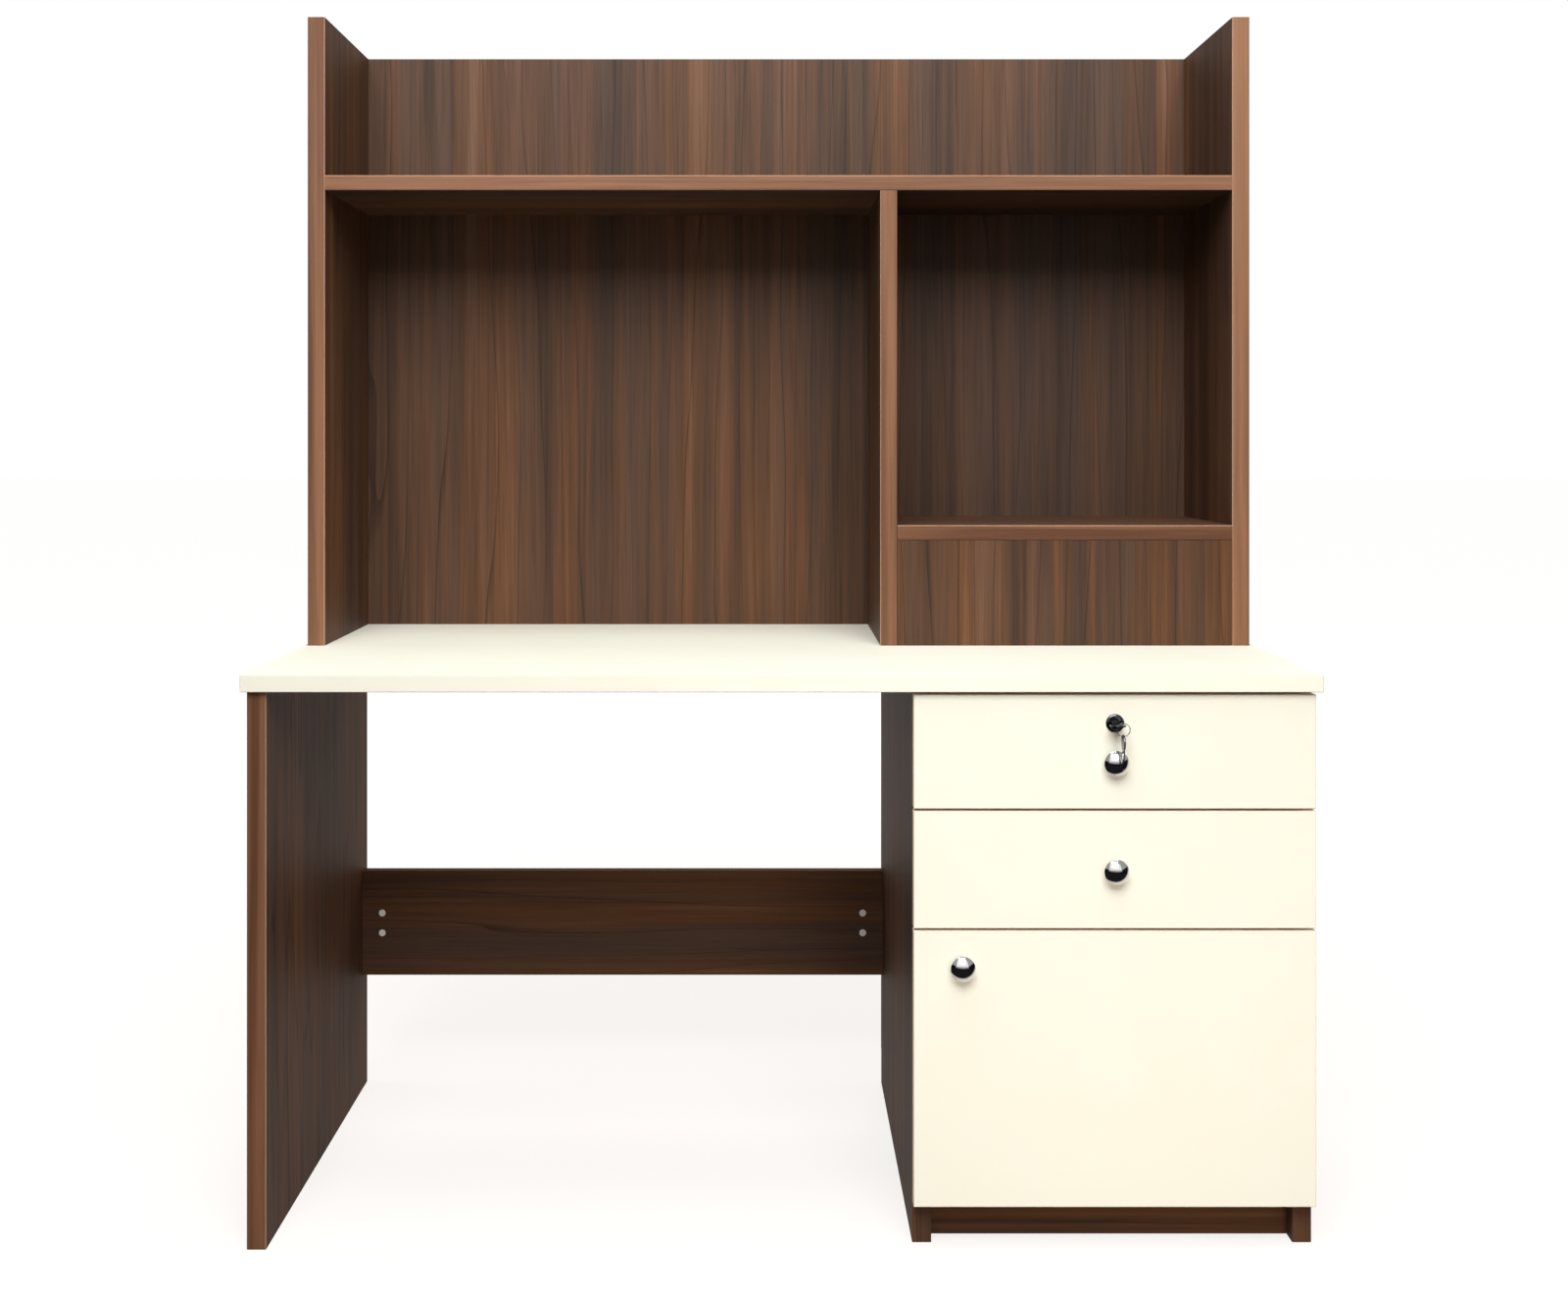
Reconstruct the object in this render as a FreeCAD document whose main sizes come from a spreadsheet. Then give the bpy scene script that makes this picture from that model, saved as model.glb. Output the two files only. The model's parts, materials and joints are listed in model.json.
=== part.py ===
import FreeCAD, Part
import os
import re
import Sketcher

# Student desk with a drawer pedestal and an open hutch, in millimetres.
# x runs to the right, y to the back and z up. The floor is z = 0, and x = 0 and y = 0 are
# the middle of the whole desk, keys included.

# Driving sizes.
SIZES = {
    # desk
    "desk_width": 1400,
    "desk_depth": 620,
    "desk_height": 745,
    "slab_thickness": 22,
    "panel_thickness": 25,
    "shelf_thickness": 22,
    "front_thickness": 18,
    "edge_ease": 0.8,
    "side_overhang": 7,
    "front_setback": 8,
    "leg_back_setback": 20,
    "rail_height": 168,
    "rail_bottom": 184,
    "rail_inset": 17,
    # pedestal
    "pedestal_width": 522,
    "carcass_gap": 3.2,
    "reveal": 3,
    "front_top_gap": 4,
    "drawer_1_front_height": 148,
    "drawer_2_front_height": 152,
    "plinth_height": 55,
    "plinth_recess": 25,
    "pedestal_back_thickness": 5,
    # hutch
    "hutch_height": 925,
    "hutch_depth": 300,
    "hutch_back_setback": 3,
    "hutch_back_thickness": 9,
    "hutch_shelf_rise": 670,
    "cubby_width": 493,
    "cubby_floor_rise": 155,
    # drawer boxes
    "drawer_side_thickness": 12,
    "drawer_bottom_thickness": 4,
    "drawer_bottom_rise": 10,
    "groove_depth": 5,
    "groove_slack": 0.3,
    "drawer_box_depth": 500,
    "drawer_box_rise": 18,
    "drawer_1_box_height": 74,
    "drawer_2_box_height": 105,
    # telescopic runners
    "runner_width": 12.7,
    "runner_height": 45,
    "runner_length": 480,
    "runner_sheet": 1.2,
    "runner_slip": 0.4,
    "runner_inset": 3,
    # knobs and their screws
    "knob_diameter": 32,
    "knob_projection": 20,
    "knob_neck_diameter": 12,
    "knob_underside": 10,
    "knob_bevel": 3,
    "knob_bore_depth": 12,
    "knob_screw_diameter": 4,
    "knob_screw_clearance": 0.2,
    "knob_screw_reach": 10,
    "knob_screw_head_diameter": 8,
    "knob_screw_head_height": 2.5,
    "drawer_1_knob_rise": 61,
    "door_knob_inset": 63,
    "door_knob_drop": 46,
    # drawer lock
    "lock_drop": 37,
    "lock_flange_diameter": 24,
    "lock_flange_thickness": 3,
    "lock_barrel_diameter": 16,
    "lock_barrel_clearance": 0.2,
    "lock_barrel_tail": 8,
    "lock_nut_width": 21,
    "lock_nut_thickness": 4,
    "plug_diameter": 11,
    "plug_clearance": 0.05,
    "cam_tail_width": 5,
    "cam_thickness": 2,
    "cam_radius": 7,
    "cam_reach": 19,
    "cam_gap": 0.3,
    "strike_width": 40,
    "strike_sheet": 1.5,
    "strike_drop": 26,
    "strike_foot": 25,
    "strike_clearance": 1.8,
    # keys and their ring
    "key_thickness": 2,
    "key_blade_width": 6,
    "key_blade_length": 20,
    "key_point": 2,
    "key_neck_width": 9,
    "key_bow_radius": 10.5,
    "key_bow_distance": 15.5,
    "key_hole_offset": 6,
    "key_hole_radius": 3,
    "key_clearance": 0.15,
    "key_shoulder_gap": 0.5,
    "ring_radius": 8.5,
    "ring_wire_radius": 0.6,
    "ring_clearance": 0.3,
    # door hinges
    "hinge_inset": 80,
    "cup_radius": 17.5,
    "cup_depth": 13.5,
    "cup_edge_distance": 3,
    "cup_clearance": 0.1,
    "cup_floor": 1,
    "cup_pocket_height": 11,
    "cup_pocket_clearance": 0.5,
    "pin_edge_distance": 7.5,
    "pin_depth": 9,
    "pin_radius": 1.25,
    "pin_length": 19,
    "pin_clearance": 0.05,
    "arm_height": 9,
    "arm_bar": 4,
    "arm_eye_radius": 2.8,
    "arm_leg": 4.2,
    "arm_length": 45,
    "plate_thickness": 3.3,
    "plate_height": 26,
    "plate_length": 36,
    # dowels, cam fittings and screws
    "dowel_diameter": 8,
    "dowel_clearance": 0.05,
    "dowel_in_face": 13,
    "dowel_in_edge": 15,
    "dowel_slack": 0.5,
    "leg_dowel_front": 70,
    "leg_dowel_back": 110,
    "hutch_dowel_inset": 50,
    "rail_cam_diameter": 10,
    "rail_cam_depth": 12.5,
    "rail_cam_clearance": 0.1,
    "rail_cam_inset": 32,
    "rail_cam_spacing": 32,
    "cam_bolt_diameter": 6,
    "cam_bolt_in_panel": 11,
    "cam_bolt_shank_diameter": 5,
    "cap_diameter": 11,
    "cap_thickness": 1,
    "screw_diameter": 3.2,
    "screw_length": 14,
    "screw_head_diameter": 7,
    "screw_head_height": 1.6,
    "back_screw_inset": 60,
    "runner_screw_inset": 40,
    "hinge_screw_offset": 8.8,
    "strike_screw_offset": 13,
}

# Places that follow from the sizes.
PLACES = {
    "half_width": "desk_width / 2",
    "key_shoulder": "lock_flange_thickness + key_shoulder_gap",
    "ring_forward": "key_shoulder + key_bow_distance + key_hole_offset",
    "front_reach": "ring_forward + key_bow_radius - front_setback",
    "slab_front": "(front_reach - desk_depth) / 2",
    "slab_back": "slab_front + desk_depth",
    "slab_bottom": "desk_height - slab_thickness",
    "face": "slab_front + front_setback",
    "front_back": "face + front_thickness",
    "carcass_front": "front_back + carcass_gap",
    "leg_back": "slab_back - leg_back_setback",
    "leg_depth": "leg_back - face",
    "leg_outer": "half_width - side_overhang",
    "leg_inner": "leg_outer - panel_thickness",
    "leg_middle": "leg_outer - panel_thickness / 2",
    "rail_front": "leg_back - rail_inset - front_thickness",
    "pedestal_left": "leg_outer - pedestal_width",
    "pedestal_inner_left": "pedestal_left + panel_thickness",
    "pedestal_inner_width": "leg_inner - pedestal_inner_left",
    "pedestal_middle": "leg_outer - pedestal_width / 2",
    "carcass_back": "leg_back - pedestal_back_thickness",
    "carcass_depth": "carcass_back - carcass_front",
    "drawer_1_front_top": "slab_bottom - front_top_gap",
    "drawer_1_front_bottom": "drawer_1_front_top - drawer_1_front_height",
    "drawer_2_front_top": "drawer_1_front_bottom - reveal",
    "drawer_2_front_bottom": "drawer_2_front_top - drawer_2_front_height",
    "door_top": "drawer_2_front_bottom - reveal",
    "door_height": "door_top - plinth_height",
    "pedestal_shelf_bottom": "drawer_2_front_bottom - reveal / 2 - shelf_thickness / 2",
    "hutch_back": "slab_back - hutch_back_setback",
    "hutch_front": "hutch_back - hutch_depth",
    "hutch_board_depth": "hutch_depth - hutch_back_thickness",
    "hutch_board_back": "hutch_front + hutch_board_depth",
    "hutch_shelf_bottom": "desk_height + hutch_shelf_rise",
    "divider_right": "leg_inner - cubby_width",
    "divider_left": "divider_right - panel_thickness",
    "cubby_floor_bottom": "desk_height + cubby_floor_rise",
    "drawer_box_left": "pedestal_inner_left + runner_width",
    "drawer_box_width": "pedestal_inner_width - 2 * runner_width",
    "drawer_1_box_bottom": "drawer_1_front_bottom + drawer_box_rise",
    "drawer_2_box_bottom": "drawer_2_front_bottom + drawer_box_rise",
    "drawer_1_runner_height": "drawer_1_box_bottom + drawer_1_box_height / 2",
    "drawer_2_runner_height": "drawer_2_box_bottom + drawer_2_box_height / 2",
    "runner_front": "carcass_front + runner_inset",
    "runner_lips": "runner_width - runner_sheet - runner_slip",
    "drawer_1_knob_height": "drawer_1_front_bottom + drawer_1_knob_rise",
    "drawer_2_knob_height": "drawer_2_front_bottom + drawer_2_front_height / 2",
    "door_knob_x": "pedestal_left + door_knob_inset",
    "door_knob_height": "door_top - door_knob_drop",
    "knob_screw_hole": "knob_screw_diameter + 2 * knob_screw_clearance",
    "lock_height": "drawer_1_front_top - lock_drop",
    "lock_bore": "lock_barrel_diameter + 2 * lock_barrel_clearance",
    "strike_front": "face + cam_front - strike_clearance - strike_sheet",
    "barrel_end": "front_thickness + lock_barrel_tail",
    "cam_front": "barrel_end + cam_gap",
    "key_bow_root": "key_hole_offset + sqrt(key_bow_radius ^ 2 - key_neck_width ^ 2 / 4)",
    "key_shoulder_line": "key_hole_offset + key_bow_distance",
    "key_tip": "key_shoulder_line + key_blade_length",
    "key_rim_edge": "sqrt(key_bow_radius ^ 2 - key_hole_offset ^ 2)",
    "key_rim_middle": "(key_hole_radius + key_rim_edge) / 2",
    "key_rim_half": "(key_rim_edge - key_hole_radius) / 2",
    "key_rim_swing": "sqrt(key_rim_half ^ 2 + key_thickness ^ 2 / 4)",
    "ring_top": "key_rim_swing + ring_clearance + ring_wire_radius",
    "ring_height": "lock_height + ring_top - ring_radius",
    "ring_x": "pedestal_middle + key_rim_middle",
    "ring_y": "face - ring_forward",
    "spare_hole_height": "ring_height - ring_radius + ring_wire_radius + ring_clearance - key_hole_radius",
    "pin_x": "leg_outer - pin_edge_distance",
    "pin_y": "front_back - pin_depth",
    "hinge_low": "plinth_height + hinge_inset",
    "hinge_high": "door_top - hinge_inset",
    "cup_shift": "cup_radius + cup_edge_distance - pin_edge_distance",
    "plate_face": "panel_thickness - pin_edge_distance + plate_thickness",
    "arm_outside": "plate_face + arm_leg",
    "arm_sweep": "sqrt(arm_outside ^ 2 + arm_bar ^ 2 / 4)",
    "arm_eye_flat": "sqrt(arm_eye_radius ^ 2 - arm_bar ^ 2 / 4)",
    "arm_back": "pin_depth + carcass_gap + arm_length",
    "cam_line": "rail_front + front_thickness / 2",
    "cam_low": "rail_bottom + rail_height / 2 - rail_cam_spacing / 2",
    "cam_high": "rail_bottom + rail_height / 2 + rail_cam_spacing / 2",
    "leg_dowel_1": "face + leg_dowel_front",
    "leg_dowel_2": "leg_back - leg_dowel_back",
    "hutch_dowel_1": "hutch_front + hutch_dowel_inset",
    "hutch_dowel_2": "hutch_board_back - hutch_dowel_inset",
    "pedestal_dowel_y": "carcass_front + carcass_depth / 2",
    "dowel_hole": "dowel_diameter + 2 * dowel_clearance",
}

TINY = 1e-6
# Dowels, screws, cam fittings and their holes are many, so each has only this many faces around.
# The caps over the cams and the pins of the hinges have more, for they are seen or turned on.
FITTING_SIDES = 6
ROUND_SIDES = 16
WORD = re.compile(r"[a-z][a-z0-9_]*")
PLANE_OF_AXIS = {"x": "YZ_Plane", "y": "XZ_Plane", "z": "XY_Plane"}
FACES = {
    "left": ("x", 0),
    "right": ("x", 1),
    "front": ("y", 0),
    "back": ("y", 1),
    "bottom": ("z", 0),
    "top": ("z", 1),
}

doc = FreeCAD.newDocument("StudentDesk")
parts = []
cuts = []


def in_sheets(formula):
    """The formula with each size and place written as a cell of its sheet."""
    def cell(match):
        word = match.group()
        if word in SIZES:
            return "Sizes." + word
        if word in PLACES:
            return "Places." + word
        return word
    return WORD.sub(cell, formula)


def make_sheet(name, cells):
    """A sheet with one named cell in column B for each entry."""
    sheet = doc.addObject("Spreadsheet::Sheet", name)
    for row, (alias, content) in enumerate(cells.items(), 1):
        sheet.set(f"A{row}", alias)
        sheet.set(f"B{row}", content)
        sheet.setAlias(f"B{row}", alias)
    doc.recompute()
    return sheet


sizes = make_sheet("Sizes", {alias: str(size) for alias, size in SIZES.items()})
make_sheet("Places", {alias: "=" + in_sheets(formula) for alias, formula in PLACES.items()})


def bind(feature, prop, formula):
    """Tie a property to a formula in sizes and places."""
    feature.setExpression(prop, in_sheets(formula))


def number(formula):
    """The present value of a formula in sizes and places."""
    return float(sizes.evalExpression(in_sheets(formula)))


def place(feature, x, y, z):
    """Tie a sub-part's place to three formulas."""
    bind(feature, "Placement.Base.x", x)
    bind(feature, "Placement.Base.y", y)
    bind(feature, "Placement.Base.z", z)


def new_body(label, many=False):
    """An empty body for one sub-part, or for a group of separate solids."""
    body = doc.addObject("PartDesign::Body", "Body")
    body.Label = label
    body.AllowCompound = many
    parts.append(body)
    return body


def origin_plane(body, axis):
    """The plane of a body's origin that lies across one axis."""
    roles = {feature.Role: feature for feature in body.Origin.OriginFeatures}
    return roles[PLANE_OF_AXIS[axis]]


def new_sketch(body, axis, level="0"):
    """A sketch across one axis of its body, at a level along that axis."""
    sketch = body.newObject("Sketcher::SketchObject", "Sketch")
    sketch.AttachmentSupport = [(origin_plane(body, axis), "")]
    sketch.MapMode = "FlatFace"
    # A sketch across y faces the front, so its offset counts that way.
    bind(sketch, "AttachmentOffset.Base.z", f"-({level})" if axis == "y" else level)
    return sketch


def fix(sketch, geometry, point, u, v):
    """Hold one point of a sketch at two formulas."""
    for kind, formula in (("DistanceX", u), ("DistanceY", v)):
        row = sketch.addConstraint(
            Sketcher.Constraint(kind, -1, 1, geometry, point, number(formula))
        )
        bind(sketch, f"Constraints[{row}]", formula)


def fix_radius(sketch, geometry, radius):
    """Hold the radius of an arc or circle at a formula."""
    row = sketch.addConstraint(Sketcher.Constraint("Radius", geometry, number(radius)))
    bind(sketch, f"Constraints[{row}]", radius)


def add_circles(sketch, centres, radius):
    """Draw a circle of one radius at each centre."""
    for u, v in centres:
        centre = FreeCAD.Vector(number(u), number(v), 0)
        circle = Part.Circle(centre, FreeCAD.Vector(0, 0, 1), number(radius))
        geometry = sketch.addGeometry(circle, False)
        fix(sketch, geometry, 3, u, v)
        fix_radius(sketch, geometry, radius)


def arc_middle(start, end, radius, turn, large):
    """The point half way along an arc that turns left (1) or right (-1)."""
    chord = end - start
    left = FreeCAD.Vector(-chord.y, chord.x, 0).normalize() * turn
    rise = max(radius ** 2 - chord.Length ** 2 / 4, 0) ** 0.5
    bulge = radius + rise if large else radius - rise
    return (start + end) / 2 - left * bulge


def add_outline(sketch, corners):
    """Draw a closed outline.

    A corner is (u, v), with a straight run to the next corner, or (u, v, radius, turn, large),
    with an arc to the next corner.
    """
    points = [FreeCAD.Vector(number(corner[0]), number(corner[1]), 0) for corner in corners]
    runs = []
    for index, corner in enumerate(corners):
        start = points[index]
        end = points[(index + 1) % len(points)]
        if len(corner) == 2:
            geometry = sketch.addGeometry(Part.LineSegment(start, end), False)
            runs.append((geometry, 1, 2))
            continue
        _, _, radius, turn, large = corner
        middle = arc_middle(start, end, number(radius), turn, large)
        if turn > 0:
            geometry = sketch.addGeometry(Part.Arc(start, middle, end), False)
            runs.append((geometry, 1, 2))
        else:
            geometry = sketch.addGeometry(Part.Arc(end, middle, start), False)
            runs.append((geometry, 2, 1))
    for index, (geometry, _, last) in enumerate(runs):
        following, first, _ = runs[(index + 1) % len(runs)]
        sketch.addConstraint(Sketcher.Constraint("Coincident", geometry, last, following, first))
    for corner, (geometry, first, _) in zip(corners, runs):
        fix(sketch, geometry, first, corner[0], corner[1])
        if len(corner) > 2:
            fix_radius(sketch, geometry, corner[2])


def rectangle(low_u, low_v, high_u, high_v):
    """The corners of an upright rectangle."""
    return [(low_u, low_v), (high_u, low_v), (high_u, high_v), (low_u, high_v)]


def pad(body, axis, sketch, length):
    """Thicken a sketch along its axis, towards larger values."""
    feature = body.newObject("PartDesign::Pad", "Pad")
    feature.Profile = sketch
    bind(feature, "Length", length)
    feature.Reversed = axis == "y"


def pocket(body, axis, sketch, depth, upwards):
    """Cut a sketch along its axis, towards larger values or smaller ones."""
    feature = body.newObject("PartDesign::Pocket", "Pocket")
    feature.Profile = sketch
    bind(feature, "Length", depth)
    feature.Reversed = upwards != (axis == "y")
    cuts.append(feature)


def turn(body, sketch):
    """Turn a sketch across z about its own vertical axis, which is the body's y axis."""
    feature = body.newObject("PartDesign::Revolution", "Turned")
    feature.Profile = sketch
    feature.ReferenceAxis = (sketch, ["V_Axis"])
    feature.Angle = 360


def pegs(body, axis, level, spots, diameter, length):
    """Round pegs of one diameter that start at a level and run along an axis."""
    sketch = new_sketch(body, axis, level)
    add_circles(sketch, spots, f"({diameter}) / 2")
    pad(body, axis, sketch, length)


def fitting(body, kind, axis, level, spot, diameter, length, sides=FITTING_SIDES):
    """A many-sided peg, or a hole like it, that starts at a level and runs along an axis."""
    feature = body.newObject(f"PartDesign::{kind}Prism", kind)
    feature.AttachmentSupport = [(origin_plane(body, axis), "")]
    feature.MapMode = "FlatFace"
    feature.Polygon = sides
    feature.Refine = False
    bind(feature, "Circumradius", f"({diameter}) / 2")
    bind(feature, "Height", length)
    # A plane across y faces the front, so a length along y starts from its back end there.
    offset = f"-({level} + {length})" if axis == "y" else level
    bind(feature, "AttachmentOffset.Base", f"vector({spot[0]}; {spot[1]}; {offset})")
    return feature


def fitting_pegs(body, axis, level, spots, diameter, length, sides=FITTING_SIDES):
    """Dowels, shanks, heads or caps of one diameter that start at a level and run along an axis."""
    for spot in spots:
        fitting(body, "Additive", axis, level, spot, diameter, length, sides)


def fitting_holes(body, axis, level, spots, diameter, length, sides=FITTING_SIDES):
    """Holes for dowels, bolts, screws or pins that start at a level and run along an axis."""
    for spot in spots:
        cuts.append(fitting(body, "Subtractive", axis, level, spot, diameter, length, sides))


class Board:
    """A board with square corners, its low corner at a place and its size along x, y and z."""

    def __init__(self, label, corner, size, eased=""):
        self.corner = corner
        self.size = size
        self.body = new_body(label)
        sketch = new_sketch(self.body, "z")
        add_outline(sketch, rectangle("0", "0", size[0], size[1]))
        pad(self.body, "z", sketch, size[2])
        place(self.body, *corner)
        if eased:
            self.ease(eased)

    def ease(self, which):
        """Break all edges, or the front ones that run along x or z, as edge banding is finished."""
        doc.recompute()
        base = self.body.Tip
        feature = self.body.newObject("PartDesign::Chamfer", "EasedEdges")
        names = []
        for index, edge in enumerate(base.Shape.Edges, 1):
            box = edge.BoundBox
            along = box.XLength if which == "x" else box.ZLength
            if which == "all" or (box.YMax < TINY and along > TINY):
                names.append(f"Edge{index}")
        feature.Base = (base, names)
        bind(feature, "Size", "edge_ease")

    def on_face(self, face, spots):
        """The axis across a face, whether it is the far one, its level and spots as the board has them."""
        axis, far = FACES[face]
        order = "xyz".index(axis)
        across = [index for index in range(3) if index != order]
        centres = []
        for spot in spots:
            pairs = zip(spot, across)
            centres.append([f"({formula}) - ({self.corner[index]})" for formula, index in pairs])
        return axis, far, self.size[order] if far else "0", centres

    def drill(self, face, spots, diameter, depth):
        """Drill holes for fittings from one face, at spots given in the desk's frame."""
        axis, far, level, centres = self.on_face(face, spots)
        start = f"({level}) - ({depth})" if far else level
        fitting_holes(self.body, axis, start, centres, diameter, depth)

    def bore(self, face, spots, diameter, depth):
        """Bore round holes from one face, at spots given in the desk's frame."""
        axis, far, level, centres = self.on_face(face, spots)
        sketch = new_sketch(self.body, axis, level)
        add_circles(sketch, centres, f"({diameter}) / 2")
        pocket(self.body, axis, sketch, depth, upwards=not far)


def dowel_joint(group, edge_board, edge_face, face_board, face_face, level, spots):
    """Dowels from the end of one board into the face of another, with their holes."""
    axis, far = FACES[edge_face]
    start = f"{level} - dowel_in_edge" if far else f"{level} - dowel_in_face"
    fitting_pegs(group, axis, start, spots, "dowel_diameter", "dowel_in_edge + dowel_in_face")
    edge_board.drill(edge_face, spots, "dowel_hole", "dowel_in_edge + dowel_slack")
    face_board.drill(face_face, spots, "dowel_hole", "dowel_in_face + dowel_slack")


def screws(group, axis, seat, spots, inwards):
    """Pan head screws seated on a face, with shanks that run up the axis or down it."""
    head_start = f"{seat} - screw_head_height" if inwards > 0 else seat
    shank_start = seat if inwards > 0 else f"{seat} - screw_length"
    fitting_pegs(group, axis, head_start, spots, "screw_head_diameter", "screw_head_height")
    fitting_pegs(group, axis, shank_start, spots, "screw_diameter", "screw_length")


# Desk: top, left leg panel and the rail between leg and pedestal.
desk_top = Board(
    "desk_top",
    ("-half_width", "slab_front", "slab_bottom"),
    ("desk_width", "desk_depth", "slab_thickness"),
    eased="all",
)
left_leg_panel = Board(
    "left_leg_panel",
    ("-leg_outer", "face", "0"),
    ("panel_thickness", "leg_depth", "slab_bottom"),
    eased="z",
)
modesty_rail = Board(
    "modesty_rail",
    ("-leg_inner", "rail_front", "rail_bottom"),
    ("pedestal_left + leg_inner", "front_thickness", "rail_height"),
    eased="x",
)

# Pedestal: two sides, back, the shelf under the drawers, the cupboard floor and the plinth.
pedestal_left_side = Board(
    "pedestal_left_side",
    ("pedestal_left", "carcass_front", "0"),
    ("panel_thickness", "carcass_depth", "slab_bottom"),
    eased="z",
)
pedestal_right_side = Board(
    "pedestal_right_side",
    ("leg_inner", "carcass_front", "0"),
    ("panel_thickness", "carcass_depth", "slab_bottom"),
    eased="z",
)
pedestal_back_panel = Board(
    "pedestal_back_panel",
    ("pedestal_left", "carcass_back", "plinth_height"),
    ("pedestal_width", "pedestal_back_thickness", "slab_bottom - plinth_height"),
)
pedestal_shelf = Board(
    "pedestal_shelf",
    ("pedestal_inner_left", "carcass_front", "pedestal_shelf_bottom"),
    ("pedestal_inner_width", "carcass_depth", "shelf_thickness"),
    eased="x",
)
cupboard_floor = Board(
    "cupboard_floor",
    ("pedestal_inner_left", "carcass_front", "plinth_height"),
    ("pedestal_inner_width", "carcass_depth", "shelf_thickness"),
    eased="x",
)
plinth_board = Board(
    "plinth_board",
    ("pedestal_inner_left", "carcass_front + plinth_recess", "0"),
    ("pedestal_inner_width", "front_thickness", "plinth_height"),
)

# Hutch: two sides, back, shelf, divider, and the cubby's floor and fascia.
hutch_left_side = Board(
    "hutch_left_side",
    ("-leg_outer", "hutch_front", "desk_height"),
    ("panel_thickness", "hutch_board_depth", "hutch_height"),
    eased="z",
)
hutch_right_side = Board(
    "hutch_right_side",
    ("leg_inner", "hutch_front", "desk_height"),
    ("panel_thickness", "hutch_board_depth", "hutch_height"),
    eased="z",
)
hutch_back_panel = Board(
    "hutch_back_panel",
    ("-leg_outer", "hutch_board_back", "desk_height"),
    ("2 * leg_outer", "hutch_back_thickness", "hutch_height"),
)
hutch_shelf = Board(
    "hutch_shelf",
    ("-leg_inner", "hutch_front", "hutch_shelf_bottom"),
    ("2 * leg_inner", "hutch_board_depth", "shelf_thickness"),
    eased="x",
)
hutch_divider = Board(
    "hutch_divider",
    ("divider_left", "hutch_front", "desk_height"),
    ("panel_thickness", "hutch_board_depth", "hutch_shelf_rise"),
    eased="z",
)
cubby_floor = Board(
    "cubby_floor",
    ("divider_right", "hutch_front", "cubby_floor_bottom"),
    ("cubby_width", "hutch_board_depth", "shelf_thickness"),
    eased="x",
)
cubby_fascia = Board(
    "cubby_fascia",
    ("divider_right", "hutch_front", "desk_height"),
    ("cubby_width", "front_thickness", "cubby_floor_rise"),
)

# Dowels that locate the desk top on its legs, and the pedestal's two fixed boards.
leg_dowel_rows = ("leg_dowel_1", "leg_dowel_2")
desk_dowels = new_body("desk_dowels", many=True)
for panel, middle in (
    (left_leg_panel, "-leg_middle"),
    (pedestal_left_side, "pedestal_left + panel_thickness / 2"),
    (pedestal_right_side, "leg_middle"),
):
    leg_spots = [(middle, row) for row in leg_dowel_rows]
    dowel_joint(desk_dowels, panel, "top", desk_top, "bottom", "slab_bottom", leg_spots)

pedestal_dowels = new_body("pedestal_dowels", many=True)
for shelf, bottom in ((pedestal_shelf, "pedestal_shelf_bottom"), (cupboard_floor, "plinth_height")):
    shelf_spots = [("pedestal_dowel_y", f"{bottom} + shelf_thickness / 2")]
    dowel_joint(
        pedestal_dowels, shelf, "left", pedestal_left_side, "right", "pedestal_inner_left", shelf_spots
    )
    dowel_joint(pedestal_dowels, shelf, "right", pedestal_right_side, "left", "leg_inner", shelf_spots)

# Dowels of the hutch: its sides and divider on the desk top, its shelf and cubby floor between them.
hutch_dowel_rows = ("hutch_dowel_1", "hutch_dowel_2")
hutch_dowels = new_body("hutch_dowels", many=True)
for panel, middle in ((hutch_left_side, "-leg_middle"), (hutch_right_side, "leg_middle")):
    panel_spots = [(middle, row) for row in hutch_dowel_rows]
    dowel_joint(hutch_dowels, panel, "bottom", desk_top, "top", "desk_height", panel_spots)
shelf_spots = [(row, "hutch_shelf_bottom + shelf_thickness / 2") for row in hutch_dowel_rows]
dowel_joint(hutch_dowels, hutch_shelf, "left", hutch_left_side, "right", "-leg_inner", shelf_spots)
dowel_joint(hutch_dowels, hutch_shelf, "right", hutch_right_side, "left", "leg_inner", shelf_spots)
floor_spots = [("hutch_dowel_1", "cubby_floor_bottom + shelf_thickness / 2")]
dowel_joint(hutch_dowels, cubby_floor, "left", hutch_divider, "right", "divider_right", floor_spots)
dowel_joint(hutch_dowels, cubby_floor, "right", hutch_right_side, "left", "leg_inner", floor_spots)

# Cam fittings of the rail: bolts in the panels, cams in the rail's face and caps over the cams.
cam_heights = ("cam_low", "cam_high")
cam_columns = ("-leg_inner + rail_cam_inset", "pedestal_left - rail_cam_inset")
cam_spots = [(column, height) for column in cam_columns for height in cam_heights]
bolt_spots = [("cam_line", height) for height in cam_heights]
bolt_bore = "cam_bolt_diameter + 2 * rail_cam_clearance"
shank_bore = "cam_bolt_shank_diameter + 2 * rail_cam_clearance"
modesty_rail.drill("front", cam_spots, "rail_cam_diameter + 2 * rail_cam_clearance", "rail_cam_depth")
modesty_rail.drill("left", bolt_spots, shank_bore, "rail_cam_inset")
modesty_rail.drill("right", bolt_spots, shank_bore, "rail_cam_inset")
left_leg_panel.drill("right", bolt_spots, bolt_bore, "cam_bolt_in_panel + dowel_slack")
pedestal_left_side.drill("left", bolt_spots, bolt_bore, "cam_bolt_in_panel + dowel_slack")

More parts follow.
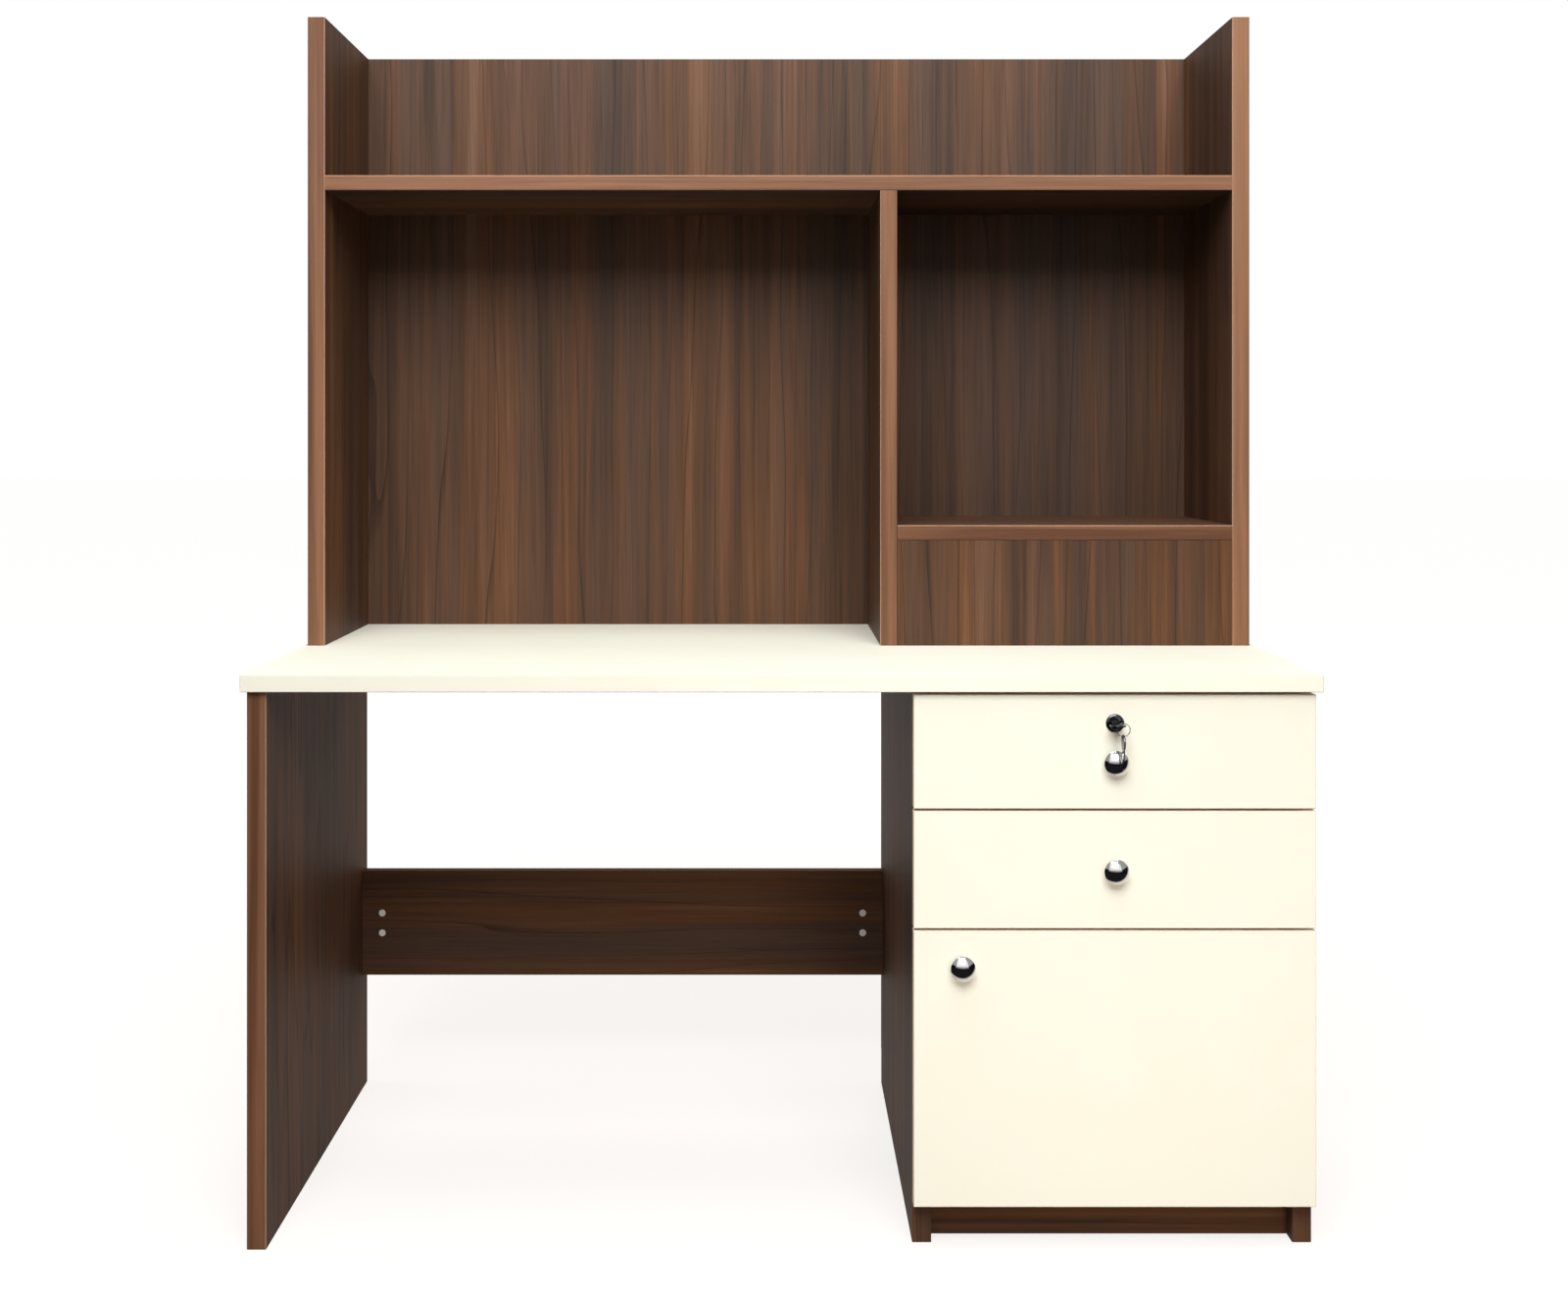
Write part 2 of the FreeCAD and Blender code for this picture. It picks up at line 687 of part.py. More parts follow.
rail_cam_bolts = new_body("rail_cam_bolts", many=True)
for root_start, shank_start in (
    ("-leg_inner - cam_bolt_in_panel", "-leg_inner"),
    ("pedestal_left", "pedestal_left - rail_cam_inset"),
):
    fitting_pegs(rail_cam_bolts, "x", root_start, bolt_spots, "cam_bolt_diameter", "cam_bolt_in_panel")
    fitting_pegs(rail_cam_bolts, "x", shank_start, bolt_spots, "cam_bolt_shank_diameter", "rail_cam_inset")

rail_cam_locks = new_body("rail_cam_locks", many=True)
fitting_pegs(rail_cam_locks, "y", "rail_front", cam_spots, "rail_cam_diameter", "rail_cam_depth")
for column in cam_columns:
    cam_side = f"{column} - rail_cam_diameter / 2"
    fitting_holes(rail_cam_locks, "x", cam_side, bolt_spots, shank_bore, "rail_cam_diameter")

rail_cam_caps = new_body("rail_cam_caps", many=True)
cap_start = "rail_front - cap_thickness"
fitting_pegs(rail_cam_caps, "y", cap_start, cam_spots, "cap_diameter", "cap_thickness", ROUND_SIDES)

# Screws of the two back panels.
back_screws = new_body("back_panel_screws", many=True)
hutch_screw_heights = (
    "desk_height + back_screw_inset",
    "desk_height + hutch_height / 2",
    "desk_height + hutch_height - back_screw_inset",
)
hutch_screw_spots = [(x, z) for x in ("-leg_middle", "leg_middle") for z in hutch_screw_heights]
screws(back_screws, "y", "hutch_back", hutch_screw_spots, inwards=-1)
pedestal_screw_columns = ("pedestal_left + panel_thickness / 2", "leg_middle")
pedestal_screw_heights = ("plinth_height + back_screw_inset", "slab_bottom - back_screw_inset")
pedestal_screw_spots = [(x, z) for x in pedestal_screw_columns for z in pedestal_screw_heights]
screws(back_screws, "y", "leg_back", pedestal_screw_spots, inwards=-1)


# Telescopic runners: three nested channels on each side of a drawer.
RUNNER_MEMBERS = {
    # web's outer face, web's inner face, end of the lips, as distances from the panel; half height
    "cabinet": ("0", "runner_sheet", "runner_lips", "runner_height / 2"),
    "middle": (
        "runner_sheet + runner_slip",
        "2 * runner_sheet + runner_slip",
        "runner_lips",
        "runner_height / 2 - runner_sheet - runner_slip",
    ),
    "inner": (
        "runner_width",
        "runner_width - runner_sheet",
        "2 * runner_sheet + 2 * runner_slip",
        "runner_height / 2 - 2 * runner_sheet - 2 * runner_slip",
    ),
}


def channel(member, side):
    """The C profile of a runner member as distances across and up from the runner's own line."""
    web, inside, lip, half = RUNNER_MEMBERS[member]
    flange = f"({half} - runner_sheet)"
    profile = [
        (web, f"-({half})"),
        (lip, f"-({half})"),
        (lip, f"-{flange}"),
        (inside, f"-{flange}"),
        (inside, flange),
        (lip, flange),
        (lip, half),
        (web, half),
    ]
    if side == "left":
        return [(f"pedestal_inner_left + {across}", up) for across, up in profile]
    return [(f"leg_inner - ({across})", up) for across, up in profile]


def make_runners(drawer, member):
    """One member of a drawer's left and right runners."""
    body = new_body(f"{drawer}_{member}_runners", many=True)
    sketch = new_sketch(body, "y", "runner_front")
    for side in ("left", "right"):
        profile = channel(member, side)
        add_outline(sketch, [(across, f"{drawer}_runner_height + {up}") for across, up in profile])
    pad(body, "y", sketch, "runner_length")


# Drawer boxes: grooved sides, a bottom in the grooves and a back that stands on the bottom.
def grooved_side(drawer, side):
    """One side of a drawer box, with the groove for its bottom on the inner face."""
    body = new_body(f"{drawer}_{side}_side")
    low = f"{drawer}_box_bottom"
    groove_low = f"{low} + drawer_bottom_rise"
    groove_high = f"{groove_low} + drawer_bottom_thickness + groove_slack"
    high = f"{low} + {drawer}_box_height"
    if side == "left":
        outer = "drawer_box_left"
        inner = "drawer_box_left + drawer_side_thickness"
        groove = f"{inner} - groove_depth"
    else:
        outer = "drawer_box_left + drawer_box_width"
        inner = "drawer_box_left + drawer_box_width - drawer_side_thickness"
        groove = f"{inner} + groove_depth"
    sketch = new_sketch(body, "y", "front_back")
    add_outline(
        sketch,
        [
            (outer, low),
            (inner, low),
            (inner, groove_low),
            (groove, groove_low),
            (groove, groove_high),
            (inner, groove_high),
            (inner, high),
            (outer, high),
        ],
    )
    pad(body, "y", sketch, "drawer_box_depth")


def make_drawer(drawer):
    """The front, box and runners of one drawer."""
    front = Board(
        f"{drawer}_front",
        ("pedestal_left", "face", f"{drawer}_front_bottom"),
        ("pedestal_width", "front_thickness", f"{drawer}_front_height"),
        eased="all",
    )
    grooved_side(drawer, "left")
    grooved_side(drawer, "right")
    bottom_height = f"{drawer}_box_bottom + drawer_bottom_rise"
    back_height = f"{bottom_height} + drawer_bottom_thickness"
    bottom_margin = "drawer_side_thickness - groove_depth + groove_slack"
    Board(
        f"{drawer}_bottom",
        (f"drawer_box_left + {bottom_margin}", "front_back", bottom_height),
        (f"drawer_box_width - 2 * ({bottom_margin})", "drawer_box_depth", "drawer_bottom_thickness"),
    )
    Board(
        f"{drawer}_back",
        (
            "drawer_box_left + drawer_side_thickness",
            "front_back + drawer_box_depth - drawer_side_thickness",
            back_height,
        ),
        (
            "drawer_box_width - 2 * drawer_side_thickness",
            "drawer_side_thickness",
            f"{drawer}_box_height - drawer_bottom_rise - drawer_bottom_thickness",
        ),
    )
    for member in RUNNER_MEMBERS:
        make_runners(drawer, member)
    return front


# Knobs: turned heads with a bevelled rim on a slim neck, each held by a screw through its front.
def make_knob(owner, x, height):
    """A knob and its screw at a place on the fronts."""
    knob = new_body(f"{owner}_knob")
    sketch = new_sketch(knob, "z")
    add_outline(
        sketch,
        [
            ("0", "0"),
            ("knob_neck_diameter / 2", "0"),
            ("knob_neck_diameter / 2", "-knob_underside"),
            ("knob_diameter / 2", "-knob_underside"),
            ("knob_diameter / 2", "knob_bevel - knob_projection"),
            ("knob_diameter / 2 - knob_bevel", "-knob_projection"),
            ("0", "-knob_projection"),
        ],
    )
    turn(knob, sketch)
    fitting_holes(knob, "y", "-knob_bore_depth", [("0", "0")], "knob_screw_hole", "knob_bore_depth")
    place(knob, x, "face", height)

    screw = new_body(f"{owner}_knob_screw")
    shank_length = "knob_screw_reach + front_thickness"
    spots = [(x, height)]
    fitting_pegs(screw, "y", "face - knob_screw_reach", spots, "knob_screw_diameter", shank_length)
    fitting_pegs(screw, "y", "front_back", spots, "knob_screw_head_diameter", "knob_screw_head_height")


drawer_1_front = make_drawer("drawer_1")
drawer_2_front = make_drawer("drawer_2")
door_panel = Board(
    "door_panel",
    ("pedestal_left", "face", "plinth_height"),
    ("pedestal_width", "front_thickness", "door_height"),
    eased="all",
)
for owner, front, x, height in (
    ("drawer_1", drawer_1_front, "pedestal_middle", "drawer_1_knob_height"),
    ("drawer_2", drawer_2_front, "pedestal_middle", "drawer_2_knob_height"),
    ("door", door_panel, "door_knob_x", "door_knob_height"),
):
    front.drill("front", [(x, height)], "knob_screw_hole", "front_thickness")
    make_knob(owner, x, height)

# Drawer lock: a housing clamped by its nut, a plug that turns in it and a cam on the plug's square tail.
drawer_1_front.bore("front", [("pedestal_middle", "lock_height")], "lock_bore", "front_thickness")


def lock_body(label):
    """A body on the lock's axis, at the drawer's front face."""
    body = new_body(label)
    place(body, "pedestal_middle", "face", "lock_height")
    return body


lock_housing = lock_body("lock_housing")
housing_profile = new_sketch(lock_housing, "z")
housing_bore = "plug_diameter / 2 + plug_clearance"
add_outline(
    housing_profile,
    [
        (housing_bore, "-lock_flange_thickness"),
        ("lock_flange_diameter / 2", "-lock_flange_thickness"),
        ("lock_flange_diameter / 2", "0"),
        ("lock_barrel_diameter / 2", "0"),
        ("lock_barrel_diameter / 2", "barrel_end"),
        (housing_bore, "barrel_end"),
    ],
)
turn(lock_housing, housing_profile)

lock_nut = lock_body("lock_nut")
nut_outline = new_sketch(lock_nut, "y", "front_thickness")
nut_corner = "lock_nut_width / sqrt(3)"
nut_flat = "lock_nut_width / 2"
add_outline(
    nut_outline,
    [
        (nut_corner, "0"),
        (f"{nut_corner} / 2", nut_flat),
        (f"-{nut_corner} / 2", nut_flat),
        (f"-{nut_corner}", "0"),
        (f"-{nut_corner} / 2", f"-{nut_flat}"),
        (f"{nut_corner} / 2", f"-{nut_flat}"),
    ],
)
add_circles(nut_outline, [("0", "0")], "lock_bore / 2")
pad(lock_nut, "y", nut_outline, "lock_nut_thickness")

lock_plug = lock_body("lock_plug")
plug_profile = new_sketch(lock_plug, "z")
add_outline(
    plug_profile,
    [
        ("0", "-lock_flange_thickness"),
        ("plug_diameter / 2", "-lock_flange_thickness"),
        ("plug_diameter / 2", "cam_front"),
        ("0", "cam_front"),
    ],
)
turn(lock_plug, plug_profile)
plug_tail = new_sketch(lock_plug, "y", "cam_front")
tail_half = "cam_tail_width / 2"
add_outline(plug_tail, rectangle(f"-{tail_half}", f"-{tail_half}", tail_half, tail_half))
pad(lock_plug, "y", plug_tail, "cam_thickness")
keyway = new_sketch(lock_plug, "y", "-lock_flange_thickness")
slot_half_width = "key_blade_width / 2 + key_clearance"
slot_half_height = "key_thickness / 2 + key_clearance"
add_outline(
    keyway,
    rectangle(f"-({slot_half_width})", f"-({slot_half_height})", slot_half_width, slot_half_height),
)
pocket(lock_plug, "y", keyway, "key_blade_length", upwards=True)

lock_cam = lock_body("lock_cam")
cam_outline = new_sketch(lock_cam, "y", "cam_front")
add_outline(
    cam_outline,
    [
        ("0", "-cam_radius", "cam_radius", 1, False),
        ("cam_radius", "0", "cam_radius", 1, False),
        ("0", "cam_radius"),
        ("-cam_reach", "cam_radius", "cam_radius", 1, False),
        ("-cam_reach - cam_radius", "0", "cam_radius", 1, False),
        ("-cam_reach", "-cam_radius"),
    ],
)
tail_hole = f"({tail_half} + plug_clearance)"
add_outline(cam_outline, rectangle(f"-{tail_hole}", f"-{tail_hole}", tail_hole, tail_hole))
pad(lock_cam, "y", cam_outline, "cam_thickness")

lock_strike = new_body("lock_strike")
strike_profile = new_sketch(lock_strike, "x", "pedestal_middle - strike_width / 2")
add_outline(
    strike_profile,
    [
        ("strike_front", "slab_bottom - strike_drop"),
        ("strike_front + strike_sheet", "slab_bottom - strike_drop"),
        ("strike_front + strike_sheet", "slab_bottom - strike_sheet"),
        ("strike_front + strike_foot", "slab_bottom - strike_sheet"),
        ("strike_front + strike_foot", "slab_bottom"),
        ("strike_front", "slab_bottom"),
    ],
)
pad(lock_strike, "x", strike_profile, "strike_width")


# Keys: a round bow with a hole near its end, a neck and a pointed blade, flat across z.
def make_key(label):
    """A key with its hole at the body's origin and its blade along y."""
    body = new_body(label)
    sketch = new_sketch(body, "z", "-key_thickness / 2")
    neck = "key_neck_width / 2"
    blade = "key_blade_width / 2"
    add_outline(
        sketch,
        [
            (f"-{neck}", "key_bow_root", "key_bow_radius", 1, True),
            (neck, "key_bow_root"),
            (neck, "key_shoulder_line"),
            (blade, "key_shoulder_line"),
            (blade, "key_tip - key_point"),
            ("0", "key_tip"),
            (f"-{blade}", "key_tip - key_point"),
            (f"-{blade}", "key_shoulder_line"),
            (f"-{neck}", "key_shoulder_line"),
        ],
    )
    add_circles(sketch, [("0", "0")], "key_hole_radius")
    pad(body, "z", sketch, "key_thickness")
    return body


lock_key = make_key("lock_key")
place(lock_key, "pedestal_middle", "ring_y", "lock_height")

# The ring hangs on the right rim of the key's bow, and the spare key hangs blade down on the ring.
key_ring = new_body("key_ring")
wire_section = new_sketch(key_ring, "z")
wire_half = "ring_wire_radius / sqrt(2)"
add_outline(
    wire_section,
    rectangle(f"ring_radius - {wire_half}", f"-{wire_half}", f"ring_radius + {wire_half}", wire_half),
)
turn(key_ring, wire_section)
place(key_ring, "ring_x", "ring_y", "ring_height")

spare_key = make_key("spare_key")
spare_key.Placement.Rotation = FreeCAD.Rotation(
    FreeCAD.Vector(0, 1, 0), FreeCAD.Vector(0, 0, -1), FreeCAD.Vector(-1, 0, 0), "XYZ"
)
place(spare_key, "ring_x", "ring_y", "spare_hole_height")

# Door hinges: cups sunk in the door, arms on plates inside the right side, and their pins.
hinge_heights = ("hinge_low", "hinge_high")
cup_spots = [("pin_x - cup_shift", height) for height in hinge_heights]
door_panel.bore("back", cup_spots, "2 * (cup_radius + cup_clearance)", "cup_depth + cup_clearance")

hinge_cups = new_body("hinge_cups", many=True)
pegs(hinge_cups, "y", "front_back - cup_depth", cup_spots, "2 * cup_radius", "cup_depth")
cup_pockets = new_sketch(hinge_cups, "y", "front_back")
for height in hinge_heights:
    add_outline(
        cup_pockets,
        rectangle(
            "pin_x - arm_sweep - cup_pocket_clearance",
            f"{height} - cup_pocket_height / 2",
            "pin_x + arm_eye_radius + cup_pocket_clearance",
            f"{height} + cup_pocket_height / 2",
        ),
    )
pocket(hinge_cups, "y", cup_pockets, "cup_depth - cup_floor", upwards=False)
pin_spots = [("pin_x", "pin_y")]
pin_bore = "2 * (pin_radius + pin_clearance)"
pin_bore_length = "pin_length + 2 * pin_clearance"
for height in hinge_heights:
    bore_start = f"{height} - pin_length / 2 - pin_clearance"
    fitting_holes(hinge_cups, "z", bore_start, pin_spots, pin_bore, pin_bore_length, ROUND_SIDES)

hinge_pins = new_body("hinge_pins", many=True)
hinge_arms = new_body("hinge_arms", many=True)
for height in hinge_heights:
    pin_start = f"{height} - pin_length / 2"
    fitting_pegs(hinge_pins, "z", pin_start, pin_spots, "2 * pin_radius", "pin_length", ROUND_SIDES)
    arm_outline = new_sketch(hinge_arms, "z", f"{height} - arm_height / 2")
    add_outline(
        arm_outline,
        [
            ("pin_x - arm_eye_flat", "pin_y + arm_bar / 2"),
            ("pin_x - plate_face", "pin_y + arm_bar / 2"),
            ("pin_x - plate_face", "pin_y + arm_back"),
            ("pin_x - arm_outside", "pin_y + arm_back"),
            ("pin_x - arm_outside", "pin_y - arm_bar / 2"),
            ("pin_x - arm_eye_flat", "pin_y - arm_bar / 2", "arm_eye_radius", 1, True),
        ],
    )
    add_circles(arm_outline, pin_spots, "pin_radius + pin_clearance")
    pad(hinge_arms, "z", arm_outline, "arm_height")

hinge_plates = new_body("hinge_plates", many=True)
plate_outlines = new_sketch(hinge_plates, "x", "leg_inner - plate_thickness")
for height in hinge_heights:
    add_outline(
        plate_outlines,
        rectangle(
            "pin_y + arm_back - plate_length",
            f"{height} - plate_height / 2",
            "pin_y + arm_back",
            f"{height} + plate_height / 2",
        ),
    )
pad(hinge_plates, "x", plate_outlines, "plate_thickness")

# Screws of the runners, hinge plates and strike. The runners' screw heads lie flush in their webs.
fitting_screws = new_body("fitting_screws", many=True)
runner_screw_rows = (
    "runner_front + runner_screw_inset",
    "runner_front + runner_length - runner_screw_inset",
)
runner_screw_heights = ("drawer_1_runner_height", "drawer_2_runner_height")
runner_screw_spots = [(row, height) for row in runner_screw_rows for height in runner_screw_heights]
left_seat = "pedestal_inner_left + runner_sheet - screw_head_height"
right_seat = "leg_inner - runner_sheet + screw_head_height"
screws(fitting_screws, "x", left_seat, runner_screw_spots, inwards=-1)
screws(fitting_screws, "x", right_seat, runner_screw_spots, inwards=1)
plate_row = "pin_y + arm_back - plate_length / 2"
plate_screw_spots = []
for height in hinge_heights:
    plate_screw_spots.append((plate_row, f"{height} - hinge_screw_offset"))
    plate_screw_spots.append((plate_row, f"{height} + hinge_screw_offset"))
screws(fitting_screws, "x", "leg_inner - plate_thickness", plate_screw_spots, inwards=1)
strike_row = "strike_front + (strike_foot + strike_sheet) / 2"
strike_screw_spots = [
    ("pedestal_middle - strike_screw_offset", strike_row),
    ("pedestal_middle + strike_screw_offset", strike_row),
]
screws(fitting_screws, "z", "slab_bottom - strike_sheet", strike_screw_spots, inwards=1)

# Check the whole document, then write each sub-part to its own file.
doc.recompute()
for feature in doc.Objects:
    if "Invalid" in feature.State or "Error" in feature.State:
        raise RuntimeError(f"{feature.Name} ({feature.Label}) failed: {feature.State}")
for cut in cuts:
    if not cut.Shape.Volume < cut.BaseFeature.Shape.Volume - TINY:
        raise RuntimeError(f"{cut.Name} in {cut.getParentGeoFeatureGroup().Label} cuts nothing")
for part in parts:
    if part.Shape.isNull() or not part.Shape.isValid() or not part.Shape.Solids:
        raise RuntimeError(f"{part.Label} has no sound solid")

os.makedirs("parts", exist_ok=True)
for part in parts:
    part.Shape.exportStep(f"parts/{part.Label}.step")
print(f"{len(parts)} sub-parts written")
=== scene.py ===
import json
import math

import bmesh
import bpy
from mathutils import Matrix, Vector


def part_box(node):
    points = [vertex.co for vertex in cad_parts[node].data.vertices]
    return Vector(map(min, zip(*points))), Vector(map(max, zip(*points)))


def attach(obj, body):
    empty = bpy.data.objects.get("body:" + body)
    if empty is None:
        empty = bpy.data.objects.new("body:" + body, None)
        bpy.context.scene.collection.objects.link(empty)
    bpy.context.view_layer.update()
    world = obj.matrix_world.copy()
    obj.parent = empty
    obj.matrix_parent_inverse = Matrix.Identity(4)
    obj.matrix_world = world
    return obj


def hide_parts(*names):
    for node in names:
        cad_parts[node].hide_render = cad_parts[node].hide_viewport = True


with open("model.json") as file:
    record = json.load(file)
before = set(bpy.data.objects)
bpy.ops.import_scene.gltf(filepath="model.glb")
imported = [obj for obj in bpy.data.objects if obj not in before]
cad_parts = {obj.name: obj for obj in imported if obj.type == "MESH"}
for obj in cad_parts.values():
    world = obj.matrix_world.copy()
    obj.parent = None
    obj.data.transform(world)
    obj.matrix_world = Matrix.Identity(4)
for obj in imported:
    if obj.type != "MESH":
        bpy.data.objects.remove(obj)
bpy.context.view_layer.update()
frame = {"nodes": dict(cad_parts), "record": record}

# Student desk with a drawer pedestal and an open hutch, in metres.
# x runs to the right, y to the back and z up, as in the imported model.

NODES = frame["nodes"]
BODIES = frame["record"]["behaviour"]["bodies"]
BODY_OF_NODE = {node: body for body, nodes in BODIES.items() for node in nodes}
SLOT_OF_NODE = {row["node"]: row["material_slot"] for row in frame["record"]["subparts"]}

# The picture's frame and the camera that took it: level, looking to the back, with a shifted lens.
IMAGE_WIDTH = 1600
FOCAL_PIXELS = 1790
SENSOR_WIDTH = 36
CAMERA_PLACE = (-0.033, -2.561, 1.057)
CAMERA_SHIFT = (0.0178, -0.1373)

# Light on the desk, in plain strengths, and the floor under it.
WORLD_STRENGTH = 0.06
MIRROR_SHARE = 0.35
WHITE = (1, 1, 1, 1)
WARM_SHADE = (1.0, 0.90, 0.81, 1)
LOW_BEAM = math.radians(50)
FLOOR_REACH = 40.0
FLOOR_COLOUR = (0.28, 0.24, 0.21, 1)
FLOOR_GLOW_NEAR = 0.76
FLOOR_GLOW_FAR = 0.98
FLOOR_NEAR = 1.2
FLOOR_FAR = 4.0

# A dark tray low in front of the desk and a white card above the camera, for the metal to mirror.
TRAY_REACH = 2.6
TRAY_NEAR = -0.36
TRAY_FAR = -2.4
TRAY_LIFT = 0.002
TRAY_SIDE = 1.0
TRAY_END = 0.45
TRAY_COLOUR = (0.008, 0.008, 0.009, 1)
CARD_REACH = 3.2
CARD_PLACE = -3.2
CARD_LOW = 1.15
CARD_HIGH = 4.6

# Finishes, as linear colours.
WALNUT_GREY = (0.042, 0.023, 0.014, 1)
WALNUT_MID = (0.078, 0.036, 0.017, 1)
WALNUT_RED = (0.118, 0.048, 0.018, 1)
WALNUT_PALE = (0.165, 0.080, 0.042, 1)
WALNUT_MAUVE = (0.088, 0.050, 0.036, 1)
WALNUT_LINE = (0.400, 0.360, 0.340, 1)
WALNUT_FIBRE = (0.820, 0.800, 0.780, 1)
BAND_DARK = (0.106, 0.044, 0.021, 1)
BAND_PALE = (0.285, 0.135, 0.070, 1)
# The next two colours are a painted highlight and painted shade on the eased corners of edge bands.
BAND_PAINTED_HIGHLIGHT = (0.520, 0.310, 0.215, 1)
BAND_PAINTED_SHADE = (0.062, 0.027, 0.015, 1)
IVORY = (0.905, 0.903, 0.785, 1)
IVORY_WARM = (0.898, 0.888, 0.760, 1)
# The next two colours are painted shade: a warmer line on eased corners, and a warm tone on the narrow edges
# of the fronts.
IVORY_PAINTED_SHADE_LINE = (0.740, 0.610, 0.500, 1)
IVORY_PAINTED_WARM_SHADE = (0.880, 0.760, 0.640, 1)
FOIL_PALE = (0.700, 0.630, 0.510, 1)
FOIL_DARK = (0.560, 0.480, 0.370, 1)
HARDBOARD_PALE = (0.330, 0.200, 0.110, 1)
HARDBOARD_DARK = (0.275, 0.160, 0.085, 1)
BEECH_PALE = (0.560, 0.360, 0.190, 1)
BEECH_DARK = (0.400, 0.230, 0.110, 1)
SPECK_SHADE = (0.780, 0.760, 0.740, 1)
CHROME = (0.780, 0.785, 0.800, 1)
DARK_NICKEL = (0.100, 0.100, 0.110, 1)
ZINC_PALE = (0.620, 0.630, 0.650, 1)
ZINC_DARK = (0.430, 0.440, 0.460, 1)
CAP_WHITE = (0.950, 0.950, 0.935, 1)
CAP_SHADE = (0.880, 0.875, 0.855, 1)

# How far a face's direction reaches along an axis where it counts as flat, eased, turned or narrow.
FLAT_FACE = 0.9
EASED_FACE = 0.4
EASED_LEAST = 0.02
NARROW_FACE = 0.1

# The values of a pattern between which roughness changes, and between which two tones do.
ROUGH_LOW, ROUGH_HIGH = 0.3, 0.7
TONE_LOW, TONE_HIGH = 0.35, 0.65

# Places of the colour sockets on a mix node, and of the number sockets on a random value node.
MIX_FACTOR, MIX_FIRST, MIX_SECOND, MIX_RESULT = 0, 6, 7, 2
RANDOM_LEAST, RANDOM_MOST, RANDOM_VALUE = 2, 3, 1


def add(tree, kind, inputs=None, **settings):
    """A node of one kind, with its settings, and with values or links on its inputs."""
    made = tree.nodes.new(kind)
    for name, value in settings.items():
        setattr(made, name, value)
    for key, value in (inputs or {}).items():
        if isinstance(value, bpy.types.NodeSocket):
            tree.links.new(value, made.inputs[key])
        else:
            made.inputs[key].default_value = value
    return made


def emptied_tree(owner):
    """The node tree of a material or a world, with nothing in it."""
    owner.use_nodes = True
    owner.node_tree.nodes.clear()
    return owner.node_tree


def new_finish(name, **sockets):
    """A material with one shader, whose plain values are set on the shader's own sockets."""
    material = bpy.data.materials.new(name)
    tree = emptied_tree(material)
    values = {key.replace("_", " "): value for key, value in sockets.items()}
    shader = add(tree, "ShaderNodeBsdfPrincipled", values)
    add(tree, "ShaderNodeOutputMaterial", {"Surface": shader.outputs["BSDF"]})
    return material, tree, shader


def put_in_scene(name, data):
    """A new object in the scene, at the origin."""
    made = bpy.data.objects.new(name, data)
    bpy.context.scene.collection.objects.link(made)
    return made


def coat(mesh, material):
    """One finish on the whole of a mesh."""
    mesh.materials.clear()
    mesh.materials.append(material)


def maths(tree, operation, first, second):
    """What one operation makes of two values."""
    return add(tree, "ShaderNodeMath", {0: first, 1: second}, operation=operation).outputs["Value"]


def span(tree, value, low, high, first=0.0, last=1.0):
    """A value taken from one range to another, and held at the ends."""
    ends = {"From Min": low, "From Max": high, "To Min": first, "To Max": last}
    return add(tree, "ShaderNodeMapRange", {"Value": value, **ends}).outputs["Result"]


def ramp(tree, value, stops):
    """A run of colours over a value, from (position, colour) pairs."""
    made = add(tree, "ShaderNodeValToRGB", {"Fac": value})
    points = made.color_ramp.elements
    while len(points) < len(stops):
        points.new(1.0)
    for point, (position, colour) in zip(points, stops):
        point.position = position
        point.color = colour
    return made.outputs["Color"]


def two_tones(tree, pattern, dark, pale):
    """A colour that goes from dark to pale as a pattern rises."""
    return ramp(tree, pattern, [(TONE_LOW, dark), (TONE_HIGH, pale)])


def blend_colour(tree, factor, first, second, mode="MIX"):
    """Two colours joined by a factor."""
    sockets = {MIX_FACTOR: factor, MIX_FIRST: first, MIX_SECOND: second}
    made = add(tree, "ShaderNodeMix", sockets, data_type="RGBA", blend_type=mode)
    return made.outputs[MIX_RESULT]


def roughen(tree, shader, pattern, first, last):
    """Roughness on a shader that goes from one value to another as a pattern rises."""
    rough = span(tree, pattern, ROUGH_LOW, ROUGH_HIGH, first, last)
    tree.links.new(rough, shader.inputs["Roughness"])


def bump(tree, shader, height, strength, depth):
    """Relief on a shader from a height."""
    made = add(tree, "ShaderNodeBump", {"Height": height, "Strength": strength, "Distance": depth})
    tree.links.new(made.outputs["Normal"], shader.inputs["Normal"])


# Where a pattern starts, and which way it runs.
ORIGIN = (0.0, 0.0, 0.0)
UPRIGHT = (0.0, 0.0, 0.0)
LYING = (0.0, math.pi / 2, 0.0)


def stretched(tree, place, turn, scale):
    """Object coordinates, moved, turned and stretched for one pattern."""
    source = add(tree, "ShaderNodeTexCoord").outputs["Object"]
    moves = {"Vector": source, "Location": place, "Rotation": turn}
    laid = add(tree, "ShaderNodeMapping", moves, vector_type="POINT").outputs["Vector"]
    drawn = add(tree, "ShaderNodeMapping", {"Vector": laid, "Scale": scale}, vector_type="POINT")
    return drawn.outputs["Vector"]


def noise(tree, scale, detail, roughness, distortion=0.0, place=ORIGIN, turn=UPRIGHT):
    """A soft random pattern, with how often it repeats in a metre along each axis."""
    vector = stretched(tree, place, turn, scale)
    sizes = {"Scale": 1.0, "Detail": detail, "Roughness": roughness, "Distortion": distortion}
    return add(tree, "ShaderNodeTexNoise", {"Vector": vector, **sizes}).outputs["Fac"]


